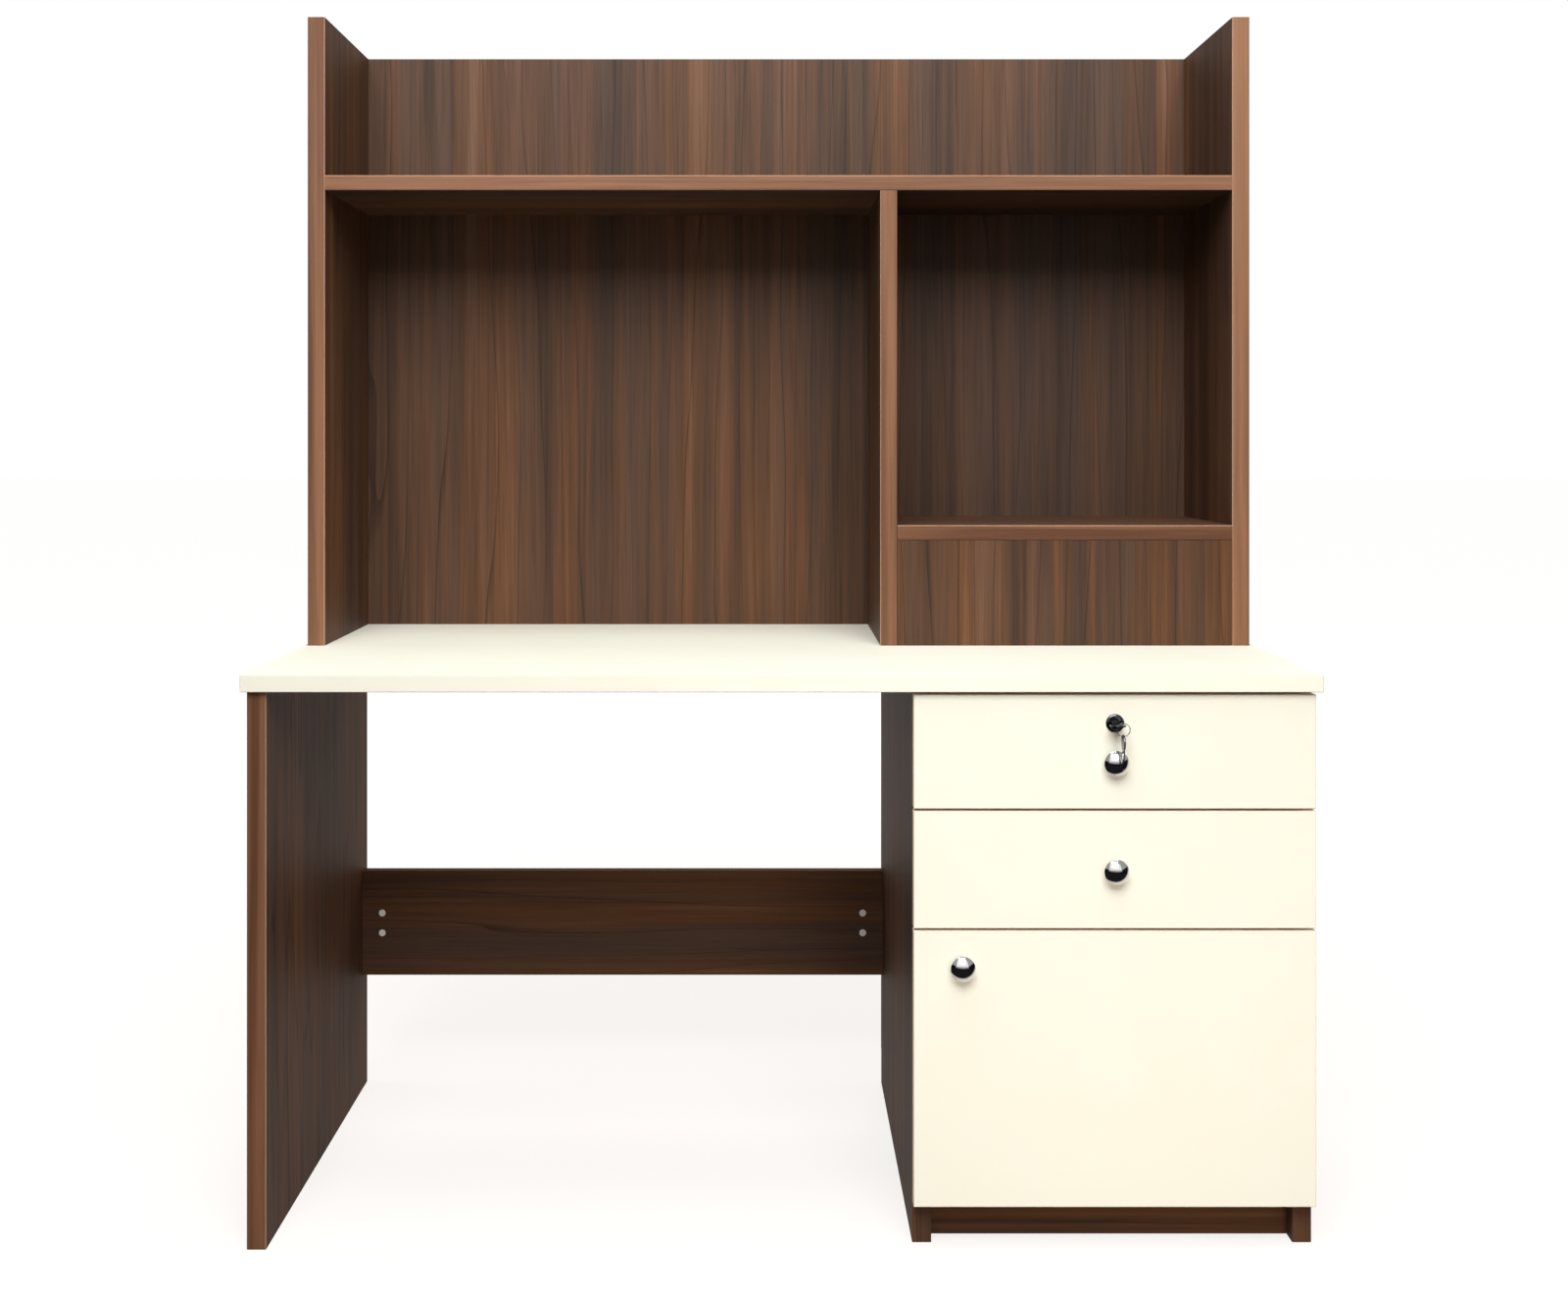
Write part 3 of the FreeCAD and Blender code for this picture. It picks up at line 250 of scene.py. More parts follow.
def front_edges(tree):
    """Masks from a face's direction: flat to the front, and eased corners, split into those towards the
    middle or upwards, which take a painted highlight, and the others, which take painted shade.
    """
    surface = add(tree, "ShaderNodeNewGeometry")
    way = add(tree, "ShaderNodeSeparateXYZ", {"Vector": surface.outputs["True Normal"]}).outputs
    place = add(tree, "ShaderNodeTexCoord").outputs["Object"]
    side = add(tree, "ShaderNodeSeparateXYZ", {"Vector": place}).outputs["X"]
    front = maths(tree, "LESS_THAN", way["Y"], -FLAT_FACE)
    eased = maths(tree, "SUBTRACT", maths(tree, "LESS_THAN", way["Y"], -EASED_FACE), front)
    inward = maths(tree, "LESS_THAN", maths(tree, "MULTIPLY", way["X"], side), -EASED_LEAST)
    upward = maths(tree, "GREATER_THAN", way["Z"], EASED_FACE)
    # Eased corners towards the middle or upwards take a painted highlight; the other eased corners take
    # painted shade.
    painted_highlight = maths(tree, "MULTIPLY", eased, maths(tree, "MAXIMUM", inward, upward))
    return front, painted_highlight, maths(tree, "SUBTRACT", eased, painted_highlight)


# The figure of walnut: patterns across and along the grain, their shares, and the colours on them.
BROAD_GRAIN = {"scale": (6.5, 6.5, 0.45), "detail": 2.0, "roughness": 0.5, "distortion": 0.3}
HUE_GRAIN = {"scale": (21.0, 21.0, 0.60), "detail": 3.0, "roughness": 0.5, "distortion": 0.3}
STREAK_GRAIN = {"scale": (34.0, 34.0, 0.80), "detail": 4.0, "roughness": 0.55, "distortion": 0.4}
FINE_GRAIN = {"scale": (150.0, 150.0, 2.0), "detail": 3.0, "roughness": 0.55, "distortion": 0.2}
FIBRE_GRAIN = {"scale": (420.0, 420.0, 7.0), "detail": 3.0, "roughness": 0.6}
PORE_GRAIN = {"scale": (620.0, 620.0, 18.0), "detail": 2.0, "roughness": 0.5}
RING_SCALE = (1.0, 1.0, 0.075)
RING_WAVES = {
    "Scale": 8.5,
    "Distortion": 11.0,
    "Detail": 2.0,
    "Detail Scale": 1.15,
    "Detail Roughness": 0.5,
}
RING_SHAPE = {"wave_type": "BANDS", "bands_direction": "X", "wave_profile": "SAW"}
BROAD_SHARE, STREAK_SHARE, FINE_SHARE = 0.38, 0.42, 0.20
FIGURE = [(0.40, WALNUT_GREY), (0.49, WALNUT_MID), (0.56, WALNUT_RED), (0.65, WALNUT_PALE)]
MAUVE_LOW, MAUVE_HIGH, MAUVE_SHARE = 0.44, 0.66, 0.55
RING_LINES = [(0.0, WALNUT_LINE), (0.07, WHITE)]
RING_SHARE = 0.8
FIBRE_THREADS = [(0.34, WALNUT_FIBRE), (0.52, WHITE)]
BAND_THREAD_SHARE = 0.8
FIBRE_RELIEF = 0.6
PORE_LOW, PORE_HIGH, PORE_RELIEF = 0.32, 0.40, 0.4


def walnut_figure(tree, streak, laid):
    """The tone of walnut: broad, streaked and fine grain, with a mauve cast in places and dark rings."""
    broad = noise(tree, **BROAD_GRAIN, **laid)
    fine = noise(tree, **FINE_GRAIN, **laid)
    hue = noise(tree, **HUE_GRAIN, **laid)
    waves = {"Vector": stretched(tree, scale=RING_SCALE, **laid), **RING_WAVES}
    rings = add(tree, "ShaderNodeTexWave", waves, **RING_SHAPE).outputs["Fac"]
    tone = maths(tree, "MULTIPLY", broad, BROAD_SHARE)
    for grain, share in ((streak, STREAK_SHARE), (fine, FINE_SHARE)):
        tone = maths(tree, "ADD", tone, maths(tree, "MULTIPLY", grain, share))
    mauve = span(tree, hue, MAUVE_LOW, MAUVE_HIGH, 0.0, MAUVE_SHARE)
    colour = blend_colour(tree, mauve, ramp(tree, tone, FIGURE), WALNUT_MAUVE)
    return blend_colour(tree, RING_SHARE, colour, ramp(tree, rings, RING_LINES), "MULTIPLY")


def with_edge_bands(tree, colour, streak, threads):
    """A board's colour with a paler band on its front edges, and a painted highlight and painted shade on
    their corners.
    """
    band = two_tones(tree, streak, BAND_DARK, BAND_PALE)
    band = blend_colour(tree, BAND_THREAD_SHARE, band, threads, "MULTIPLY")
    front, painted_highlight, painted_shade = front_edges(tree)
    # The band, then the painted highlight and painted shade on its corners.
    for mask, tone in ((front, band), (painted_highlight, BAND_PAINTED_HIGHLIGHT), (painted_shade, BAND_PAINTED_SHADE)):
        colour = blend_colour(tree, mask, colour, tone)
    return colour


def walnut(name, turn, place, banded):
    """Dark walnut laminate with its grain upright or lying, and a paler band on front edges."""
    material, tree, shader = new_finish(name, Specular_IOR_Level=0.20)
    laid = {"place": place, "turn": turn}
    streak = noise(tree, **STREAK_GRAIN, **laid)
    fibre = noise(tree, **FIBRE_GRAIN, **laid)
    pores = noise(tree, **PORE_GRAIN, **laid)
    threads = ramp(tree, fibre, FIBRE_THREADS)
    colour = blend_colour(tree, 1.0, walnut_figure(tree, streak, laid), threads, "MULTIPLY")
    if banded:
        colour = with_edge_bands(tree, colour, streak, threads)
    tree.links.new(colour, shader.inputs["Base Color"])
    roughen(tree, shader, fibre, first=0.60, last=0.48)
    ridges = maths(tree, "MULTIPLY", fibre, FIBRE_RELIEF)
    pits = span(tree, pores, PORE_LOW, PORE_HIGH, 0.0, PORE_RELIEF)
    bump(tree, shader, maths(tree, "ADD", ridges, pits), strength=0.2, depth=0.0003)
    return material


# Patterns of the other finishes, and the colours on them.
MOTTLE = {"scale": (9.0, 9.0, 9.0), "detail": 5.0, "roughness": 0.6}
FINE_SPECK = {"scale": (900.0, 900.0, 900.0), "detail": 2.0, "roughness": 0.5}
BOARD_SPECK = {"scale": (700.0, 700.0, 700.0), "detail": 3.0, "roughness": 0.6}
BOARD_GRAIN = {"detail": 5.0, "roughness": 0.6, "distortion": 0.4}
SMEAR = {"scale": (160.0, 160.0, 160.0), "detail": 4.0, "roughness": 0.6, "distortion": 0.6}
DRAWN_LINES = {"scale": (900.0, 40.0, 900.0), "detail": 3.0, "roughness": 0.6}
DULL_PATCH = {"scale": (60.0, 60.0, 60.0), "detail": 4.0, "roughness": 0.6, "distortion": 0.8}
SPARK = {"scale": (1400.0, 1400.0, 1400.0), "detail": 2.0, "roughness": 0.5}
IVORY_TONES = [(0.35, IVORY_WARM), (0.62, IVORY)]
SPECK_TONES = [(0.32, SPECK_SHADE), (0.52, WHITE)]
SPECK_SHARE = 0.7
SPECK_SMOOTHER, SPECK_ROUGHER = 0.06, 0.08
CAP_TONES = [(0.3, CAP_SHADE), (0.6, CAP_WHITE)]


def ivory(name, place, painted_edge_shade):
    """Ivory laminate with a faint mottle, a warmer line of painted shade on its eased corners, and painted
    warm shade on its narrow edges.
    """
    material, tree, shader = new_finish(name, Specular_IOR_Level=0.25)
    mottle = noise(tree, **MOTTLE, place=place)
    grain = noise(tree, **FINE_SPECK, place=place)
    colour = ramp(tree, mottle, IVORY_TONES)
    direction = {0: add(tree, "ShaderNodeNewGeometry").outputs["True Normal"]}
    flat = add(tree, "ShaderNodeVectorMath", direction, operation="ABSOLUTE").outputs["Vector"]
    way = add(tree, "ShaderNodeSeparateXYZ", {"Vector": flat}).outputs
    most = maths(tree, "MAXIMUM", maths(tree, "MAXIMUM", way["X"], way["Y"]), way["Z"])
    # Eased corners take a warmer line of painted shade.
    corner = maths(tree, "LESS_THAN", most, FLAT_FACE)
    colour = blend_colour(tree, corner, colour, IVORY_PAINTED_SHADE_LINE)
    if painted_edge_shade:
        # Narrow edges take painted warm shade, as in the gaps between fronts.
        edge = maths(tree, "LESS_THAN", way["Y"], NARROW_FACE)
        colour = blend_colour(tree, edge, colour, IVORY_PAINTED_WARM_SHADE)
    tree.links.new(colour, shader.inputs["Base Color"])
    roughen(tree, shader, grain, first=0.44, last=0.56)
    bump(tree, shader, grain, strength=0.06, depth=0.0002)
    return material


def fibrous(name, pale, dark, scale, rough):
    """Board, hardboard or beech: two tones drawn out along the grain."""
    material, tree, shader = new_finish(name, Specular_IOR_Level=0.3)
    grain = noise(tree, scale, **BOARD_GRAIN)
    speck = noise(tree, **BOARD_SPECK)
    colour = two_tones(tree, grain, dark, pale)
    colour = blend_colour(tree, SPECK_SHARE, colour, ramp(tree, speck, SPECK_TONES), "MULTIPLY")
    tree.links.new(colour, shader.inputs["Base Color"])
    roughen(tree, shader, speck, first=rough - SPECK_SMOOTHER, last=rough + SPECK_ROUGHER)
    bump(tree, shader, speck, strength=0.12, depth=0.0003)
    return material


def polished(name, metal):
    """A polished plating with faint smears."""
    material, tree, shader = new_finish(name, Metallic=1.0, Base_Color=metal)
    smear = noise(tree, **SMEAR)
    roughen(tree, shader, smear, first=0.05, last=0.13)
    bump(tree, shader, smear, strength=0.02, depth=0.0001)
    return material


def zinc(name, pale, dark):
    """Zinc plated steel with a fine drawn grain and dull patches."""
    material, tree, shader = new_finish(name, Metallic=1.0)
    drawn = noise(tree, **DRAWN_LINES)
    patch = noise(tree, **DULL_PATCH)
    tree.links.new(two_tones(tree, patch, dark, pale), shader.inputs["Base Color"])
    roughen(tree, shader, drawn, first=0.26, last=0.42)
    bump(tree, shader, drawn, strength=0.05, depth=0.0001)
    return material


def moulded(name):
    """White moulded plastic with a fine spark texture."""
    material, tree, shader = new_finish(name, Specular_IOR_Level=0.45)
    spark = noise(tree, **SPARK)
    tree.links.new(ramp(tree, spark, CAP_TONES), shader.inputs["Base Color"])
    roughen(tree, shader, spark, first=0.38, last=0.52)
    bump(tree, shader, spark, strength=0.1, depth=0.0001)
    return material


# Walnut boards: the way their grain runs, and whether their front edges carry a band.
WALNUT_BOARDS = {
    "left_leg_panel": (UPRIGHT, True),
    "modesty_rail": (LYING, False),
    "pedestal_left_side": (UPRIGHT, False),
    "pedestal_right_side": (UPRIGHT, False),
    "pedestal_back_panel": (UPRIGHT, False),
    "pedestal_shelf": (LYING, True),
    "cupboard_floor": (LYING, True),
    "plinth_board": (LYING, False),
    "hutch_left_side": (UPRIGHT, True),
    "hutch_right_side": (UPRIGHT, True),
    "hutch_back_panel": (UPRIGHT, False),
    "hutch_shelf": (LYING, True),
    "hutch_divider": (UPRIGHT, True),
    "cubby_floor": (LYING, True),
    "cubby_fascia": (UPRIGHT, False),
}
# Ivory boards, and whether painted warm shade covers their narrow edges.
IVORY_BOARDS = {"desk_top": False, "drawer_1_front": True, "drawer_2_front": True, "door_panel": True}
# Each board is cut from another place of the figured sheet.
SHEET_STEP = Vector((0.731, 0.417, 0.293))
# Finishes that pieces share, by the record's material slots.
FOIL_GRAIN = (30.0, 3.0, 60.0)
HARDBOARD_GRAIN = (80.0, 80.0, 80.0)
BEECH_GRAIN = (200.0, 200.0, 40.0)
FINISHES = {
    "drawer_board": fibrous("drawer_foil", FOIL_PALE, FOIL_DARK, FOIL_GRAIN, rough=0.5),
    "hardboard": fibrous("hardboard", HARDBOARD_PALE, HARDBOARD_DARK, HARDBOARD_GRAIN, rough=0.6),
    "beech": fibrous("beech", BEECH_PALE, BEECH_DARK, BEECH_GRAIN, rough=0.6),
    "chrome": polished("polished_chrome", CHROME),
    "dark_nickel": polished("dark_nickel", DARK_NICKEL),
    "zinc_steel": zinc("zinc_plate", ZINC_PALE, ZINC_DARK),
    "cam_zinc": zinc("cast_zinc", ZINC_DARK, ZINC_DARK),
    "white_plastic": moulded("white_cap"),
}


def finish_nodes():
    """A finish of its own on each walnut and ivory board, and shared ones on all other nodes."""
    for order, (board, (turn, banded)) in enumerate(WALNUT_BOARDS.items()):
        coat(NODES[board].data, walnut(f"walnut_{board}", turn, SHEET_STEP * order, banded))
    for order, (board, painted_edge_shade) in enumerate(IVORY_BOARDS.items()):
        coat(NODES[board].data, ivory(f"ivory_{board}", SHEET_STEP * order, painted_edge_shade))
    for node, slot in SLOT_OF_NODE.items():
        if slot in FINISHES:
            coat(NODES[node].data, FINISHES[slot])


# Turned, cut and repeated fittings, each in place of its plain node.
SHARP_ANGLE = math.radians(32)
MERGE_DISTANCE = 1e-6


def show(name, mesh, node):
    """A mesh as the piece that stands for a node, in the node's finish and on its body."""
    coat(mesh, FINISHES[SLOT_OF_NODE[node]])
    mesh.shade_smooth()
    mesh.set_sharp_from_angle(angle=SHARP_ANGLE)
    piece = put_in_scene(name, mesh)
    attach(piece, BODY_OF_NODE[node])
    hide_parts(node)


def corners_of(node):
    """A node's lowest and highest corner."""
    low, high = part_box(node)
    return Vector(low), Vector(high)


def even_steps(count, first=0.0, last=1.0):
    """Even steps from one value to another, both ends included."""
    return [first + (last - first) * step / (count - 1) for step in range(count)]


def plain_mesh(holder):
    """An object's finished mesh, in place of the object."""
    mesh = bpy.data.meshes.new_from_object(holder.evaluated_get(bpy.context.evaluated_depsgraph_get()))
    bpy.data.objects.remove(holder)
    return mesh


LATHE_SIDES = 72


def turned(name, centre, profile):
    """A piece turned about an axis that runs to the front, from (reach, radius) pairs."""
    work = bmesh.new()
    rings = []
    for reach, radius in profile:
        sides = LATHE_SIDES if radius > 0 else 1
        ring = []
        for side in range(sides):
            angle = 2 * math.pi * side / sides
            spoke = Vector((radius * math.cos(angle), -reach, radius * math.sin(angle)))
            ring.append(work.verts.new(centre + spoke))
        rings.append(ring)
    pairs = list(zip(rings, rings[1:]))
    if len(rings[0]) > 1:
        pairs.append((rings[-1], rings[0]))
    for first, second in pairs:
        for near in range(LATHE_SIDES):
            far = near + 1
            loop = [first[side % len(first)] for side in (near, far)]
            loop += [second[side % len(second)] for side in (far, near)]
            work.faces.new(dict.fromkeys(loop))
    bmesh.ops.recalc_face_normals(work, faces=work.faces)
    mesh = bpy.data.meshes.new(name)
    work.to_mesh(mesh)
    work.free()
    return mesh


# A knob's section, from the face of the front.
KNOB_BORE = 0.0022
KNOB_BORE_DEPTH = 0.012
KNOB_FOOT = 0.0074
KNOB_WAIST = 0.0058
KNOB_WAIST_REACH = 0.0036
KNOB_UNDERSIDE = 0.0114
KNOB_LIP = 0.0010
FLARE_POWER = 4
CROWN_POWER = 2
WAIST_STEPS = 8
FLARE_STEPS = 14
LIP_STEPS = 6
CROWN_STEPS = 20


def knob_profile(radius, projection):
    """A mushroom knob: a foot, a waist that flares to a rolled lip, and a crowned face."""
    points = [(KNOB_BORE_DEPTH, 0.0), (KNOB_BORE_DEPTH, KNOB_BORE), (0.0, KNOB_BORE), (0.0, KNOB_FOOT)]
    for share in even_steps(WAIST_STEPS)[1:]:
        width = KNOB_WAIST + (KNOB_FOOT - KNOB_WAIST) * (1 - share) ** 2
        points.append((KNOB_WAIST_REACH * share, width))
    flare_reach = KNOB_UNDERSIDE - KNOB_WAIST_REACH
    flare_width = radius - KNOB_LIP - KNOB_WAIST
    for share in even_steps(FLARE_STEPS)[1:]:
        width = KNOB_WAIST + flare_width * share ** FLARE_POWER
        points.append((KNOB_WAIST_REACH + flare_reach * share, width))
    crown_start = KNOB_UNDERSIDE + KNOB_LIP
    for turn in even_steps(LIP_STEPS, math.pi / 2, 0.0)[1:]:
        width = radius - KNOB_LIP * (1 - math.cos(turn))
        points.append((crown_start - KNOB_LIP * math.sin(turn), width))
    for share in even_steps(CROWN_STEPS, 1.0, 0.0)[1:-1]:
        rise = (projection - crown_start) * (1 - share ** CROWN_POWER)
        points.append((crown_start + rise, radius * share))
    return points + [(projection, 0.0)]


def turn_knobs():
    """The three knobs, as wide and as deep as their nodes."""
    for node in ("drawer_1_knob", "drawer_2_knob", "door_knob"):
        low, high = corners_of(node)
        centre = Vector(((low.x + high.x) / 2, high.y, (low.z + high.z) / 2))
        profile = knob_profile((high.x - low.x) / 2, high.y - low.y)
        show(f"turned_{node}", turned(node, centre, profile), node)


# The lock's housing: a barrel through the drawer front and a rolled flange round the plug.
LOCK_BORE = 0.0057
LOCK_BARREL = 0.008
BEZEL_EDGE = 0.0008
BEZEL_DISH = 0.0011
BEZEL_RIM_STEPS = 9
BEZEL_DISH_STEPS = 7


def bezel_profile(radius, tail, thickness):
    """The housing's closed section, from the back of its bore round to the front of it."""
    points = [(-tail, LOCK_BORE), (-tail, LOCK_BARREL), (0.0, LOCK_BARREL)]
    points += [(0.0, radius), (BEZEL_EDGE, radius)]
    crest = (radius + LOCK_BORE) / 2
    for turn in even_steps(BEZEL_RIM_STEPS, 0.0, math.pi / 2)[1:]:
        reach = BEZEL_EDGE + (thickness - BEZEL_EDGE) * math.sin(turn)
        points.append((reach, crest + (radius - crest) * math.cos(turn)))
    for share in even_steps(BEZEL_DISH_STEPS)[1:]:
        sunk = BEZEL_DISH * (1 - math.cos(share * math.pi / 2))
        points.append((thickness - sunk, crest + (LOCK_BORE - crest) * share))
    return points


def turn_bezel():
    """The lock's housing, round the face of the upper drawer front."""
    low, high = corners_of("lock_housing")
    face = corners_of("drawer_1_front")[0].y
    centre = Vector(((low.x + high.x) / 2, face, (low.z + high.z) / 2))
    profile = bezel_profile((high.z - low.z) / 2, high.y - face, face - low.y)
    show("lock_bezel", turned("lock_bezel", centre, profile), "lock_housing")


# Keys, with their hole at the origin, their width along u and their blade along v.
KEY_BOW_RADIUS = 0.0105
KEY_BOW_OFFSET = 0.006
KEY_HOLE_RADIUS = 0.003
KEY_NECK = 0.009
KEY_SHOULDER = 0.0215
KEY_BLADE = 0.006
KEY_TIP = 0.0415
KEY_POINT = 0.002
KEY_THICKNESS = 0.002
KEY_BEVEL = 0.0003
KEY_BEVEL_STEPS = 2
KEY_CUTS = (0.0012, 0.0018, 0.0008, 0.0015)
KEY_CUT_STEP = 0.0038
KEY_CUT_FLAT = 0.0008
KEY_BOW_STEPS = 57
KEY_HOLE_STEPS = 32
RIGHTWARDS = Vector((1, 0, 0))
BACKWARDS = Vector((0, 1, 0))
DOWNWARDS = Vector((0, 0, -1))


def key_outline():
    """The edge of a key: a round bow, a neck, and a blade with cuts along one side."""
    half_neck, half_blade = KEY_NECK / 2, KEY_BLADE / 2
    root = math.asin(half_neck / KEY_BOW_RADIUS)
    points = []
    for turn in even_steps(KEY_BOW_STEPS, math.pi / 2 + root, 5 * math.pi / 2 - root):
        points.append((KEY_BOW_RADIUS * math.cos(turn), KEY_BOW_OFFSET + KEY_BOW_RADIUS * math.sin(turn)))
    points += [(half_neck, KEY_SHOULDER), (half_blade, KEY_SHOULDER)]
    for order, depth in enumerate(KEY_CUTS):
        middle = KEY_SHOULDER + KEY_CUT_STEP * (order + 1)
        slope_end = KEY_CUT_FLAT / 2 + depth / 2
        points.append((half_blade, middle - slope_end))
        points.append((half_blade - depth, middle - KEY_CUT_FLAT / 2))
        points.append((half_blade - depth, middle + KEY_CUT_FLAT / 2))
        points.append((half_blade, middle + slope_end))
    points += [(half_blade, KEY_TIP - KEY_POINT), (0.0, KEY_TIP), (-half_blade, KEY_TIP - KEY_POINT)]
    points += [(-half_blade, KEY_SHOULDER), (-half_neck, KEY_SHOULDER)]
    return points


def add_loop(curve, points, cyclic=True):
    """A run of straight stretches in a curve."""
    spline = curve.splines.new("POLY")
    spline.points.add(len(points) - 1)
    for point, place in zip(spline.points, points):
        point.co = (*Vector(place).to_3d(), 1.0)
    spline.use_cyclic_u = cyclic


def mesh_of(curve, matrix):
    """A curve's mesh at its place, with its doubles merged and its faces outward."""
    mesh = plain_mesh(put_in_scene(curve.name, curve))
    work = bmesh.new()
    work.from_mesh(mesh)
    bmesh.ops.transform(work, matrix=matrix, verts=work.verts)
    bmesh.ops.remove_doubles(work, verts=work.verts, dist=MERGE_DISTANCE)
    bmesh.ops.recalc_face_normals(work, faces=work.faces)
    work.to_mesh(mesh)
    work.free()
    return mesh


def cut_key(name, hole, across, along):
    """A key cut from plate, with its bow's hole at a place and its blade along a direction."""
    curve = bpy.data.curves.new(name, "CURVE")
    curve.dimensions = "2D"
    curve.fill_mode = "BOTH"
    curve.bevel_depth = KEY_BEVEL
    curve.bevel_resolution = KEY_BEVEL_STEPS
    curve.extrude = KEY_THICKNESS / 2 - KEY_BEVEL
    curve.offset = -KEY_BEVEL
    add_loop(curve, key_outline())
    turns = [2 * math.pi * step / KEY_HOLE_STEPS for step in range(KEY_HOLE_STEPS)]
    add_loop(curve, [(KEY_HOLE_RADIUS * math.cos(turn), KEY_HOLE_RADIUS * math.sin(turn)) for turn in turns])
    axes = Matrix((across, along, across.cross(along))).transposed().to_4x4()
    return mesh_of(curve, Matrix.Translation(hole) @ axes)


def cut_keys():
    """The key in the lock, and the spare key that hangs from the ring."""
    hole_to_end = KEY_BOW_RADIUS - KEY_BOW_OFFSET
    low, high = corners_of("lock_key")
    hole = Vector(((low.x + high.x) / 2, low.y + hole_to_end, (low.z + high.z) / 2))
    show("cut_lock_key", cut_key("cut_lock_key", hole, RIGHTWARDS, BACKWARDS), "lock_key")
    low, high = corners_of("spare_key")
    hole = Vector(((low.x + high.x) / 2, (low.y + high.y) / 2, high.z - hole_to_end))
    show("cut_spare_key", cut_key("cut_spare_key", hole, BACKWARDS, DOWNWARDS), "spare_key")


# The split ring: a little over two turns of round wire, side by side.
RING_WIRE = 0.00042
RING_WIRE_STEPS = 3
RING_TURNS = 2.1
RING_STEPS = 150


def wind_ring():
    """The key ring, wound from wire."""
    low, high = corners_of("key_ring")
    radius = (high.x - low.x) / 2 - RING_WIRE
    curve = bpy.data.curves.new("split_ring", "CURVE")
    curve.dimensions = "3D"
    curve.bevel_depth = RING_WIRE
    curve.bevel_resolution = RING_WIRE_STEPS
    curve.use_fill_caps = True
    points = []
    for share in even_steps(RING_STEPS):
        turn = 2 * math.pi * RING_TURNS * share
        lay = 2 * RING_WIRE * RING_TURNS * (share - 0.5)
        points.append((radius * math.cos(turn), lay, radius * math.sin(turn)))
    add_loop(curve, points, cyclic=False)
    show("split_ring", mesh_of(curve, Matrix.Translation((low + high) / 2)), "key_ring")


# Cover caps and screws repeat, so a node tree sets one shape on every seat of a node.
DISC_SIDES = 32
DISC_RINGS = 6
SHANK_SIDES = 16
SPIN_SEED = 7
CROWN_FALL = 3.0
# How exactly the levels of a plain solid's corners are told apart.
LEVEL_DIGITS = 6
LEVEL_STEP = 10 * MERGE_DISTANCE


def solids_of(node):
    """The separate solids of a node, each as its points."""
    work = bmesh.new()
    work.from_mesh(NODES[node].data)
    bmesh.ops.remove_doubles(work, verts=work.verts, dist=MERGE_DISTANCE)
    left = set(work.verts)
    solids = []
    for start in list(work.verts):
        if start not in left:
            continue
        left.remove(start)
        waiting, points = [start], []
        while waiting:
            vert = waiting.pop()
            points.append(vert.co.copy())
            for edge in vert.link_edges:
                beside = edge.other_vert(vert)
                if beside in left:
                    left.remove(beside)
                    waiting.append(beside)
        solids.append(points)
    work.free()
    return solids


def spread(points, axis):
    """How far points reach along an axis: the least and the most."""
    values = [point[axis] for point in points]
    return min(values), max(values)


def radius_at(points, axis, level):
    """How far a solid's corners stand from its middle at one level along an axis."""
    corners = [point for point in points if abs(point[axis] - level) < MERGE_DISTANCE]
    middle = sum(corners, Vector()) / len(corners)
    return max((corner - middle).length for corner in corners)


def screw_at(points):
    """A screw's seat, the way its head faces, and its sizes, from its plain solid."""
    ends = [spread(points, axis) for axis in range(3)]
    axis = max(range(3), key=lambda each: ends[each][1] - ends[each][0])
    low, high = ends[axis]
    to_front = radius_at(points, axis, low) > radius_at(points, axis, high)
    top, tip = (low, high) if to_front else (high, low)
    depths = [abs(round(point[axis], LEVEL_DIGITS) - top) for point in points]
    head_height = min(depth for depth in depths if depth > LEVEL_STEP)
    facing = Vector([math.copysign(1, top - tip) if each == axis else 0 for each in range(3)])
    seat = Vector([sum(end) / 2 for end in ends])
    seat[axis] = top - facing[axis] * head_height
    sizes = {
        "Head Radius": radius_at(points, axis, top),
        "Head Height": head_height,
        "Shank Radius": radius_at(points, axis, tip),
        "Shank Length": abs(top - tip) - head_height,
    }
    return seat, facing, sizes


def new_tree(name, sizes):
    """A geometry node tree with named sizes, and its inputs by name."""
    tree = bpy.data.node_groups.new(name, "GeometryNodeTree")
    tree.interface.new_socket("Seats", in_out="INPUT", socket_type="NodeSocketGeometry")
    for size in sizes:
        tree.interface.new_socket(size, in_out="INPUT", socket_type="NodeSocketFloat")
    tree.interface.new_socket("Geometry", in_out="OUTPUT", socket_type="NodeSocketGeometry")
    return tree, add(tree, "NodeGroupInput").outputs


def upwards(tree, height):
    """A vector of a height along z."""
    return add(tree, "ShaderNodeCombineXYZ", {"Z": height}).outputs["Vector"]


def moved(tree, shape, place, turn=UPRIGHT):
    """A shape of a tree at another place, and turned."""
    changes = {"Geometry": shape, "Translation": place, "Rotation": turn}
    return add(tree, "GeometryNodeTransform", changes).outputs["Geometry"]


